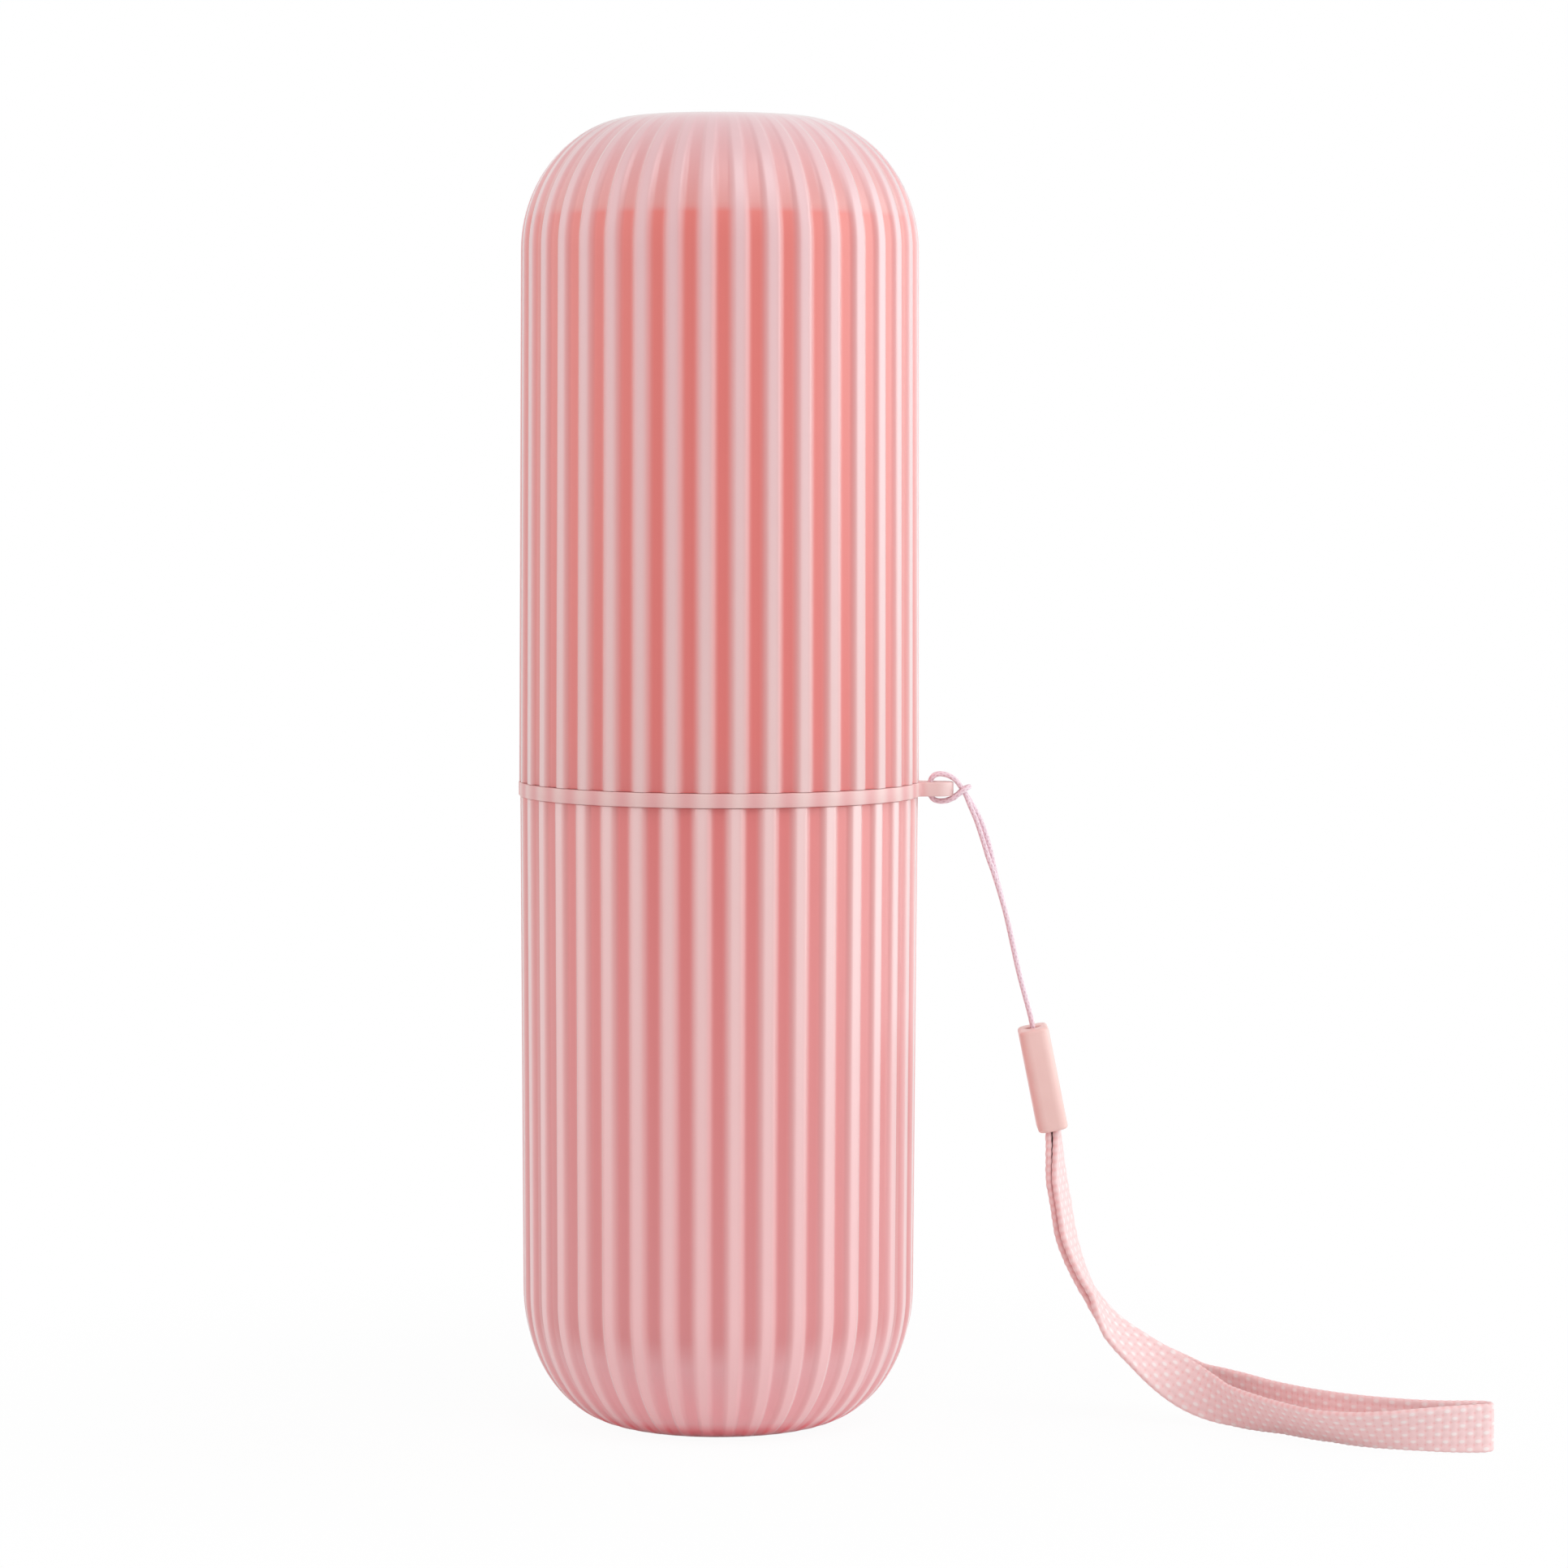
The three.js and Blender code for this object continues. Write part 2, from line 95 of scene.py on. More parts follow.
# %% [markdown]
# ## Writing node maths as sums
#
# Both kinds of node tree in this lesson, the ones that grow meshes and the ones that colour them,
# are mostly arithmetic. Placing Math nodes one by one hides the formula, so this class wraps an
# output socket and lets Python's own operators add the nodes. Anything that isn't plain
# arithmetic comes from its one general method, `node`, or from a short form of it.

# %% A socket that does sums
class Wire:
    """An output socket of a node tree. Arithmetic on it adds Math nodes to that tree."""

    def __init__(self, tree, socket=None):
        self.tree = tree
        self.socket = socket

    def __getitem__(self, name):
        return Wire(self.tree, self.socket.node.outputs[name])

    def node(self, kind, inputs=None, output=0, **settings):
        """Add a node: its settings first, then the values or links of its sockets."""
        made = self.tree.nodes.new(kind)
        for name, setting in settings.items():
            if name == "stops":
                set_stops(made.color_ramp.elements, setting)
            else:
                setattr(made, name, setting)
        for name, given in (inputs or {}).items():
            if isinstance(given, Wire):
                self.tree.links.new(given.socket, made.inputs[name])
            else:
                made.inputs[name].default_value = given
        return Wire(self.tree, made.outputs[output] if made.outputs else None)

    def math(self, operation, *others):
        """A Math node that takes this socket first."""
        inputs = dict(enumerate((self, *others)))
        return self.node("ShaderNodeMath", inputs, operation=operation)

    def then(self, kind, inputs=None, **settings):
        """Pass a shape on through a Geometry node, which takes it in its first socket."""
        return self.node("GeometryNode" + kind, {0: self, **(inputs or {})}, **settings)

    def split(self):
        """The X, Y and Z of a vector, by name."""
        return self.node("ShaderNodeSeparateXYZ", {0: self})

    def __add__(self, other):
        return self.math("ADD", other)

    def __sub__(self, other):
        return self.math("SUBTRACT", other)

    def __rsub__(self, other):
        return self * -1.0 + other

    def __mul__(self, other):
        return self.math("MULTIPLY", other)

    def __truediv__(self, other):
        return self.math("DIVIDE", other)

    def __rtruediv__(self, other):
        return self.math("POWER", -1.0) * other

    def __abs__(self):
        return self.math("ABSOLUTE")

    __radd__ = __add__
    __rmul__ = __mul__

    def fade(self, low, high):
        """0 at low and 1 at high, eased at both ends."""
        inputs = {"Value": self, "From Min": low, "From Max": high}
        return self.node("ShaderNodeMapRange", inputs, interpolation_type="SMOOTHSTEP")


def set_stops(elements, stops):
    """Give the elements of a colour ramp their stops, as pairs of place and colour."""
    while len(elements) < len(stops):
        elements.new(1)
    for element, (place, colour) in zip(elements, stops):
        element.position = place
        element.color = colour


print("operators ready:", [name for name in vars(Wire) if name.startswith("__r")])

# %% [markdown]
# ## Colours and finishes
#
# A colour picked from a picture is stored with a curve in it, and a shader wants it without, so
# `paint` undoes the curve. `new_finish` starts a material: numbers that are the same all over the
# piece go straight on the shader's own sockets, and only what changes over the surface is linked.
# `moulded_finish` is the plain satin plastic that the tubes, the ring and the sleeve share.

# %% Helpers for finishes
def paint(red, green, blue):
    """A colour written as picture values from 0 to 255, as the shader wants it."""
    flat = [value / 255 for value in (red, green, blue)]
    return [v / 12.92 if v < 0.04045 else ((v + 0.055) / 1.055) ** 2.4 for v in flat] + [1]


def new_finish(name, constants):
    """A material, the start of its tree and its shader node."""
    material = bpy.data.materials.new(name)
    material.use_nodes = True
    shader = material.node_tree.nodes["Principled BSDF"]
    for socket, value in constants.items():
        shader.inputs[socket].default_value = value
    return material, Wire(material.node_tree), shader


def feed(wire, shader, socket):
    wire.tree.links.new(wire.socket, shader.inputs[socket])


def mix_colours(factor, low, high):
    """Colour low where factor is 0, and high where it is 1."""
    return factor.node("ShaderNodeMix", {0: factor, 6: low, 7: high}, 2, data_type="RGBA")


def stored(start, label):
    """A value that a tree has kept on the mesh under a name."""
    return start.node("ShaderNodeAttribute", output="Fac", attribute_name=label)


def bump(height, strength, distance):
    return height.node("ShaderNodeBump",
                       {"Strength": strength, "Distance": distance, "Height": height})


def noise(place, size):
    """Soft random values from 0 to 1 whose patches are about that size, in metres."""
    return place.node("ShaderNodeTexNoise", {"Vector": place, "Scale": 1 / size})


def ramp(place, stops):
    """A colour for each place from 0 to 1, from stops of a place and a picture colour."""
    painted = [(at, paint(*colour)) for at, colour in stops]
    return place.node("ShaderNodeValToRGB", {"Fac": place}, stops=painted)


PLASTIC_IOR = 1.49
GRAIN_STRENGTH = 0.05


def moulded_finish(name, roughness, colours, drift, grain, depth, change=None):
    """Satin plastic whose colour drifts between two, with a fine grain of that size and depth. A
    function may change the colour from place to place."""
    material, start, shader = new_finish(name, {"Roughness": roughness, "IOR": PLASTIC_IOR})
    place = start.node("ShaderNodeTexCoord", output="Object")
    colour = mix_colours(noise(place, drift), *colours)
    feed(change(place, colour) if change else colour, shader, "Base Color")
    feed(bump(noise(place, grain), GRAIN_STRENGTH, depth), shader, "Normal")
    return material


print("pale rib, linear:", [round(value, 3) for value in paint(236, 196, 195)[:3]])

# %% [markdown]
# ## Growing pieces with Geometry Nodes
#
# The ribs, the plait of the cord and the weave of the strap all repeat along a rule, so each is a
# tree of Geometry Nodes with named sizes. A tree starts from a thin line of points, which Python
# works out, and ends in a solid skin. The result is then kept as a plain mesh, because pieces
# that move have to stand on their own.

# %% Helpers for growing pieces
def new_tree(name, sizes):
    """An empty tree with those named inputs, and its Group Input."""
    tree = bpy.data.node_groups.new(name, "GeometryNodeTree")
    tree.interface.new_socket("Line", in_out="INPUT", socket_type="NodeSocketGeometry")
    for label, kind in sizes.items():
        tree.interface.new_socket(label, in_out="INPUT", socket_type="NodeSocket" + kind)
    tree.interface.new_socket("Skin", in_out="OUTPUT", socket_type="NodeSocketGeometry")
    return tree, Wire(tree).node("NodeGroupInput")


def keep(shape, label, value, kind="FLOAT"):
    """Store a value on a shape's points under a name."""
    return shape.then("StoreNamedAttribute", {"Name": label, "Value": value},
                      data_type=kind, domain="POINT")


def kept(shape, label, kind="FLOAT"):
    """Read back a value that was stored under a name."""
    return shape.node("GeometryNodeInputNamedAttribute", {"Name": label}, data_type=kind)


def lifted(shape, height):
    """Move each point of a skin outwards by a height."""
    out = shape.node("GeometryNodeInputNormal")
    lift = out.node("ShaderNodeVectorMath", {0: out, "Scale": height}, operation="SCALE")
    return shape.then("SetPosition", {"Offset": lift})


def close_tree(shape, given):
    """End a tree: smooth, real faces that carry the finish."""
    real = shape.then("SetShadeSmooth").then("RealizeInstances")
    painted = real.then("SetMaterial", {"Material": given["Finish"]})
    painted.node("NodeGroupOutput", {"Skin": painted})


def new_piece(name, mesh):
    piece = bpy.data.objects.new(name, mesh)
    scene.collection.objects.link(piece)
    return piece


def line_mesh(name, points, closed, vectors):
    """A line of points with no faces, which may carry vectors at each point."""
    count = len(points)
    edges = [(i, (i + 1) % count) for i in range(count if closed else count - 1)]
    mesh = bpy.data.meshes.new(name)
    mesh.from_pydata([tuple(point) for point in points], edges, [])
    for label, values in vectors.items():
        attribute = mesh.attributes.new(label, "FLOAT_VECTOR", "POINT")
        attribute.data.foreach_set("vector", np.array(values, np.float32).ravel())
    return mesh


def grow(name, points, tree, sizes, closed=False, **vectors):
    """Run a tree on a line of points and keep what it makes as a plain mesh."""
    piece = new_piece(name, line_mesh(name, points, closed, vectors))
    modifier = piece.modifiers.new("Grow", "NODES")
    modifier.node_group = tree
    sockets = {item.name: item.identifier for item in tree.interface.items_tree}
    for label, value in sizes.items():
        modifier[sockets[label]] = value
    depsgraph = bpy.context.evaluated_depsgraph_get()
    mesh = bpy.data.meshes.new_from_object(piece.evaluated_get(depsgraph), depsgraph=depsgraph)
    piece.modifiers.remove(modifier)
    piece.data = mesh
    mesh.name = name
    return piece


def report(piece):
    """Print a piece's size and check that its skin is closed with its faces outwards."""
    shape = bmesh.new()
    shape.from_mesh(piece.data)
    volume = shape.calc_volume(signed=True)
    loose = sum(not edge.is_manifold for edge in shape.edges)
    triangles = sum(len(face.verts) - 2 for face in shape.faces)
    shape.free()
    corners = np.array([vertex.co for vertex in piece.data.vertices]) / MM
    print(f"{piece.name}: {triangles} triangles, {loose} open edges, {volume / MM ** 3:.1f} mm3,",
          "from", corners.min(0).round(2), "to", corners.max(0).round(2), "mm")


print("helpers ready for lines, trees and pieces")

# %% [markdown]
# ## Smooth routes
#
# The cord and the strap are both long and limp, so each is drawn along a route. Listed points say
# where it goes, and a smooth curve runs through them. The curve spaces its knots by the
# square root of the distance between points, which stops it from looping where they lie close
# together. Even steps along it keep the plait and the weave at one size.

# %% Smooth routes
SPAN_STEPS = 40


def smooth_route(stations, step):
    """Even points along a smooth curve through the stations. A station is x, y, z and any extras,
    and the extras are drawn straight from one station to the next."""
    rows = np.array(stations, float)
    ends = [2 * rows[0] - rows[1], *rows, 2 * rows[-1] - rows[-2]]
    dense = []
    for a, b, c, d in zip(ends, ends[1:], ends[2:], ends[3:]):
        knots = np.cumsum([0] + [np.linalg.norm(q[:3] - p[:3]) ** 0.5
                                 for p, q in ((a, b), (b, c), (c, d))])
        for t in np.linspace(knots[1], knots[2], SPAN_STEPS, endpoint=False):
            share = (t - knots[1]) / (knots[2] - knots[1])
            dense.append(np.append(between(knots, (a, b, c, d), t)[:3],
                                   (b + (c - b) * share)[3:]))
    dense = np.array(dense + [rows[-1]])
    run = np.append(0, np.cumsum(np.linalg.norm(np.diff(dense[:, :3], axis=0), axis=1)))
    places = np.linspace(0, run[-1], round(run[-1] / step) + 1)
    return np.array([np.interp(places, run, column) for column in dense.T]).T


def between(knots, rows, t):
    """The curve through four rows at t, by repeated straight blends between their knots."""
    for level in (((0, 1), (1, 2), (2, 3)), ((0, 2), (1, 3)), ((1, 2),)):
        rows = [p + (q - p) * ((t - knots[low]) / (knots[high] - knots[low]))
                for (low, high), p, q in zip(level, rows, rows[1:])]
    return rows[0]


def route_length(points):
    return float(np.linalg.norm(np.diff(np.array(points)[:, :3], axis=0), axis=1).sum())


test_route = smooth_route([(0, 0, 0), (3, 4, 0), (6, 8, 0)], step=0.5)
print("straight test route of length 10:", round(route_length(test_route), 2))

# %% [markdown]
# ## The route of the cord
#
# A thin cord joins the case to the strap. It is one length: both ends are knotted inside the
# sleeve, and its middle is hitched on the lug. Coming up from the sleeve, each strand passes over
# the lug, down through its hole and back under the lug, and the loop that is left closes round the
# two strands at the lug's tip. The strands mirror each other, so only one is listed. Below the lug
# the pair turns to lie side by side, and the last number of a row is that turn.

# %% Cord route
CORD_DIAMETER = 0.75 * MM
SLEEVE_TOP = Vector((47.3, 0, 59.7)) * MM
SLEEVE_TILT = math.radians(11.4)
SLEEVE_FRAME = Matrix.Translation(SLEEVE_TOP) @ Matrix.Rotation(-SLEEVE_TILT, 4, "Y")


def in_sleeve(x, y, depth):
    """A point given in the sleeve's own directions, with depth below its upper end."""
    return SLEEVE_FRAME @ Vector((x, y, -depth))


# In the mouth of the sleeve, in millimetres: half the space between the strands, and the depth
TUCKED_ROUTE = [(0.4, 2.2), (0.5, 0), (0.525, -1.5)]
# From the sleeve up to the hitch: x, half the space between the strands, z, and their lean along x
STRAND_ROUTE = [
    (45.2, 0.525, 67.9, 0),
    (43.3, 0.525, 76.3, 0),
    (41.5, 0.525, 82.8, 0.12),
    (40.75, 0.5, 85.4, 0.3),
    (40.1, 0.45, 87.7, 0.36),
    (39.0, 0.5, 90.9, 0.33),
    (37.85, 0.5, 93.3, 0.2),
    (37.15, 0.45, 94.65, 0.05),
]
# Over the lug, down its hole, back under it, and round the strands at its tip, with no lean
HITCH_ROUTE = [
    (36.65, 0.4, 95.45),
    (36.15, 0.4, 96.2),
    (35.5, 0.42, 97.0),
    (34.7, 0.45, 97.55),
    (33.8, 0.45, 97.86),
    (32.9, 0.45, 97.9),
    (32.2, 0.45, 97.6),
    (31.8, 0.45, 97.0),
    (31.68, 0.45, 96.2),
    (31.68, 0.45, 95.2),
    (31.85, 0.47, 94.5),
    (32.4, 0.5, 94.0),
    (33.2, 0.6, 93.82),
    (34.1, 0.75, 93.9),
    (35.0, 0.95, 94.22),
    (35.7, 1.12, 94.7),
    (36.35, 1.18, 95.25),
    (36.95, 1.0, 95.7),
    (37.4, 0.58, 95.92),
]
HITCH_END = Vector((37.58, 0, 96.0)) * MM


def cord_side(side):
    """Half of the cord, from the sleeve to the end of its hitch."""
    tucked = [in_sleeve(0, side * y * MM, depth * MM) for y, depth in TUCKED_ROUTE]
    free = [Vector((x + side * lean, side * y, z)) * MM
            for x, y, z, lean in STRAND_ROUTE + [(*row, 0) for row in HITCH_ROUTE]]
    return tucked + free


CORD_STEP = 0.1 * MM
cord_path = smooth_route(cord_side(-1) + [HITCH_END] + cord_side(1)[::-1], CORD_STEP)

# %% [markdown]
# ## The cord itself
#
# Lanyard cord is plaited: one set of yarns winds to the right, one to the left, and they cross in
# small diamonds. A smooth tube with a picture of a plait would go flat at the edges, so the tree
# sweeps a ring along the route and lifts its skin by the height of whichever yarn is on top. The
# same height is kept on the mesh, and the finish reads it to paint shade into the gaps.

# %% Plaited cord
def plait_tree():
    tree, given = new_tree("plaited_cord", {
        "Diameter": "Float", "Sides": "Int", "Yarns": "Float", "Plait Pitch": "Float",
        "Relief": "Float", "Finish": "Material"})
    line = given["Line"].then("MeshToCurve")
    line = keep(line, "along", line.node("GeometryNodeSplineParameter")["Length"])
    ring = line.node("GeometryNodeCurvePrimitiveCircle",
                     {"Resolution": given["Sides"], "Radius": given["Diameter"] * 0.5})
    ring = keep(ring, "around", ring.node("GeometryNodeSplineParameter")["Factor"])
    tube = line.then("CurveToMesh", {"Profile Curve": ring, "Fill Caps": True})
    turn = kept(tube, "around") * given["Yarns"]
    run = kept(tube, "along") / given["Plait Pitch"]
    right = abs(((turn + run) * math.pi).math("SINE"))
    left = abs(((turn - run) * math.pi).math("SINE"))
    tube = keep(tube, "height", right.math("MAXIMUM", left))
    close_tree(lifted(tube, (kept(tube, "height") - 1) * given["Relief"]), given)
    return tree


def cord_finish():
    material, start, shader = new_finish("cord_fibre", {"Roughness": 0.75, "Sheen Weight": 0.25})
    on_top = stored(start, "height").fade(0.35, 1.0)
    # Painted shade: the gaps between the yarns are painted darker.
    feed(mix_colours(on_top, paint(226, 186, 200), paint(246, 220, 229)), shader, "Base Color")
    return material


PLAIT_TREE = plait_tree()
PLAIT = {"Sides": 20, "Yarns": 4.0, "Plait Pitch": 1.1 * MM, "Relief": 0.06 * MM,
         "Finish": cord_finish()}
cord = grow("lanyard_cord", cord_path, PLAIT_TREE, {"Diameter": CORD_DIAMETER, **PLAIT})
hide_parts("cord_hitch", "cord_strand_left", "cord_strand_right")
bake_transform(cord)
report(cord)

# %% [markdown]
# ## The route of the strap
#
# The wrist strap is one flat ribbon. Both ends are held in the sleeve, and the loop between them
# leaves the sleeve edge on, twists as it comes down, and lies on its edge on the table with a
# pinched fold at the far end. A ribbon needs more than a line: each station also says which way
# its front edge faces, and that direction is squared up to the line before it is used.

# %% Strap route
STRAP_WIDTH = 7.4 * MM
STRAP_THICKNESS = 1.0 * MM
STRAP_LAYERS_APART = 1.15 * MM
SLEEVE_LENGTH = 15.6 * MM
STRAP_TUCK = 7 * MM

# A point on the strap's centre line, in millimetres, then the way its front edge faces
STRAP_ROUTE = [
    (50.55, 0.35, 37.0, -0.28, -1, 0),
    (51.3, 0.6, 33.0, -0.3, -1, 0),
    (52.1, 0.9, 28.3, -0.3, -1, 0),
    (53.5, 1.3, 23.9, -0.2, -1, -0.02),
    (55.6, 1.35, 19.3, -0.06, -1, -0.05),
    (59.2, 2.6, 14.4, -0.2, -0.95, -0.22),
    (63.4, 2.9, 10.5, -0.3, -0.85, -0.4),
    (67.6, 2.4, 7.4, -0.4, -0.45, -0.75),
    (72.4, 1.0, 5.2, -0.18, 0.05, -0.97),
    (77.9, -2.6, 4.7, 0, 0.28, -0.95),
    (83.8, -8.7, 3.95, 0.05, 0.1, -0.99),
    (91.2, -17.0, 3.85, 0, 0, -1),
    (99.9, -22.4, 3.85, 0, 0, -1),
    (106.4, -24.2, 3.85, 0, 0, -1),
    (112.0, -24.3, 3.85, 0, 0, -1),
    (113.2, -24.8, 3.85, 0, 0, -1),
    (113.6, -25.7, 3.85, 0, 0, -1),
    (113.2, -26.6, 3.85, 0, 0, -1),
    (112.0, -27.1, 3.85, 0, 0, -1),
    (108.5, -27.7, 3.85, 0, 0.14, -0.99),
    (103.9, -28.0, 3.82, 0.05, 0.34, -0.94),
    (99.1, -27.4, 3.6, 0.17, 0.5, -0.85),
    (94.2, -25.7, 3.35, 0.3, 0.57, -0.77),
    (89.4, -22.4, 3.25, 0.44, 0.55, -0.71),
    (82.9, -15.0, 3.35, 0.45, 0.42, -0.78),
    (76.8, -8.2, 3.75, 0.2, 0.3, -0.92),
    (72.6, -4.6, 5.0, -0.2, 0.0, -0.97),
    (68.2, -2.5, 7.5, -0.42, -0.42, -0.77),
    (63.8, -1.6, 10.7, -0.39, -0.74, -0.54),
    (59.4, -1.3, 14.6, -0.29, -0.9, -0.33),
    (56.4, -1.3, 19.75, -0.06, -1, -0.05),
    (54.3, -1.3, 24.1, -0.2, -1, -0.02),
    (52.9, -0.9, 28.4, -0.3, -1, 0),
    (52.1, -0.6, 33.0, -0.3, -1, 0),
    (51.45, -0.35, 37.1, -0.28, -1, 0),
]
TUCKED_EDGE = (-0.08, -1, 0)
WEFT_PITCH = 1.2 * MM
STRAP_STEPS_PER_WEFT = 6


def tucked_end(side):
    """The two stations that hold one end of the strap in the sleeve."""
    depths = (SLEEVE_LENGTH - STRAP_TUCK, SLEEVE_LENGTH)
    return [(*in_sleeve(side * STRAP_LAYERS_APART / 2, 0, depth), *TUCKED_EDGE) for depth in depths]


free_stations = [(x * MM, y * MM, z * MM, *edge) for x, y, z, *edge in STRAP_ROUTE]
strap_rows = smooth_route(tucked_end(-1) + free_stations + tucked_end(1)[::-1],
                          WEFT_PITCH / STRAP_STEPS_PER_WEFT)
strap_path = strap_rows[:, :3]

heading = np.gradient(strap_path, axis=0)
heading /= np.linalg.norm(heading, axis=1, keepdims=True)
strap_edge = strap_rows[:, 3:]
strap_edge = strap_edge - heading * (strap_edge * heading).sum(1, keepdims=True)
strap_edge /= np.linalg.norm(strap_edge, axis=1, keepdims=True)

# %% [markdown]
# ## The woven strap
#
# The webbing is a plain weave: six thick yarns run along it and pass over and under the cross
# yarns in turn. Modelling every yarn as its own tube would cost a million faces, and a bump map
# would leave the edges straight, so the tree sweeps a rounded oblong and lifts its skin by the
# height of the yarn on top. The back has the same weave shifted by one, as a real one does, and
# the cross yarns turn round at the two edges, which makes them slightly scalloped.

# %% Woven strap
WARP_YARNS = 6.0
WEAVE_RELIEF = 0.1 * MM
WEFT_HEIGHT = 0.7  # crest of a cross yarn, where a long yarn's is 1
YARN_FALL, DASH_FALL = 3.0, 7.0  # how steeply a yarn, and the pale dash on it, fall to their sides
EDGE_STRIP = 0.12  # strip at each edge where the cross yarns turn round, in widths of a yarn
SCALLOP_HEIGHT, SCALLOP_LEVEL = 0.3, -0.2
FIBRE_SPACING, FIBRE_LAY = 0.13 * MM, 0.6 * MM


def cosine(half_turns):
    return (half_turns * math.pi).math("COSINE")


def middle(count):
    """How far a running count is from the middle of its whole step, from -0.5 to 0.5."""
    return count.math("FRACT") - 0.5


def fall(count, steepness):
    """The drop to the sides of a yarn, where one step of the count is one yarn."""
    return middle(count) * middle(count) * steepness


def weave(across, along, back):
    """Heights of the long and the cross yarns of a plain weave."""
    warp = cosine(along - 0.5 + across.math("FLOOR") + back)
    weft = cosine(across + 0.5 + along.math("FLOOR") + back) * WEFT_HEIGHT
    return warp - fall(across, YARN_FALL), weft - fall(along, YARN_FALL)


def weave_tree():
    tree, given = new_tree("woven_strap", {
        "Width": "Float", "Thickness": "Float", "Edge Round": "Float", "Warp Yarns": "Float",
        "Weft Pitch": "Float", "Relief": "Float", "Face Step": "Float", "Finish": "Material"})
    line = given["Line"].then("MeshToCurve")
    line = keep(line, "along", line.node("GeometryNodeSplineParameter")["Length"])
    line = line.then("SetCurveNormal", {"Normal": kept(line, "edge", "FLOAT_VECTOR")}, mode="FREE")
    profile = line.node("GeometryNodeCurvePrimitiveQuadrilateral",
                        {"Width": given["Width"], "Height": given["Thickness"]})
    profile = profile.then("FilletCurve", {"Radius": given["Edge Round"], "Count": 4}, mode="POLY")
    profile = profile.then("ResampleCurve", {"Length": given["Face Step"]}, mode="LENGTH")
    profile = keep(profile, "section", profile.node("GeometryNodeInputPosition"), "FLOAT_VECTOR")
    band = line.then("CurveToMesh", {"Profile Curve": profile, "Fill Caps": True})
    section = kept(band, "section", "FLOAT_VECTOR").split()
    across = section["X"] / given["Width"] * given["Warp Yarns"]
    along = kept(band, "along") / given["Weft Pitch"]
    warp, weft = weave(across, along, section["Y"].math("LESS_THAN", 0.0))
    woven = warp.math("MAXIMUM", weft)
    scallop = cosine((along - 0.5) * 2) * SCALLOP_HEIGHT + SCALLOP_LEVEL
    at_edge = abs(across).math("GREATER_THAN", given["Warp Yarns"] * 0.5 - EDGE_STRIP)
    band = keep(band, "height", woven + (scallop - woven) * at_edge)
    dash = warp - fall(across, DASH_FALL)
    band = keep(band, "dash", dash * (1 - at_edge))
    band = keep(band, "across", section["X"])
    close_tree(lifted(band, kept(band, "height") * given["Relief"]), given)
    return tree


def strap_finish():
    material, start, shader = new_finish("strap_weave", {"Roughness": 0.85, "Sheen Weight": 0.3})
    on_dash = stored(start, "dash").fade(0.0, 0.8)
    on_top = stored(start, "height").fade(-0.8, 0.2)
    yarn = mix_colours(on_dash, paint(252, 214, 214), paint(255, 237, 236))
    # Painted shade: the gaps between the yarns and the turned edges are painted a deeper pink.
    feed(mix_colours(on_top, paint(247, 188, 187), yarn), shader, "Base Color")
    turns = stored(start, "across") / FIBRE_SPACING + stored(start, "along") / FIBRE_LAY
    fibres = (turns * math.tau).math("SINE")
    feed(bump(fibres, 0.25, 0.02 * MM), shader, "Normal")
    return material


strap = grow("wrist_strap_woven", strap_path, weave_tree(), {
    "Width": STRAP_WIDTH - 2 * WEAVE_RELIEF, "Thickness": STRAP_THICKNESS - 2 * WEAVE_RELIEF,
    "Edge Round": 0.35 * MM, "Warp Yarns": WARP_YARNS, "Weft Pitch": WEFT_PITCH,
    "Relief": WEAVE_RELIEF, "Face Step": 0.21 * MM, "Finish": strap_finish()},
    edge=strap_edge)
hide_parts("wrist_strap")
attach(strap, "lanyard")
in_sleeve(0, 0, SLEEVE_LENGTH)
report(strap)

# %% [markdown]
# ## The ribbed shells
#
# The two shells are the main pieces, and their shape follows one rule: a capsule's outline turned
# about the axis, with thirty-eight grooves pressed into it. Cutting thirty-eight grooves with
# booleans leaves ragged edges, so a tree turns the outline on a small ring and then sinks each
# point by the depth that the rule gives for its angle. Python draws only the half outline, and
# says at each point which way, and how fully, a groove sinks there.

# %% Turned pieces
SPINDLE = 1 * MM
MERGE_DISTANCE = 0.001 * MM
CAPSULE_RADIUS = 30 * MM
RIB_COUNT = 38
RIB_HEIGHT = 0.55 * MM
# Places across a rib, as shares of its pitch from the middle of a groove
GROOVE_ROOT, GROOVE_CREST = 0.16, 0.36
SHADE_FULL, SHADE_GONE = 0.08, 0.46


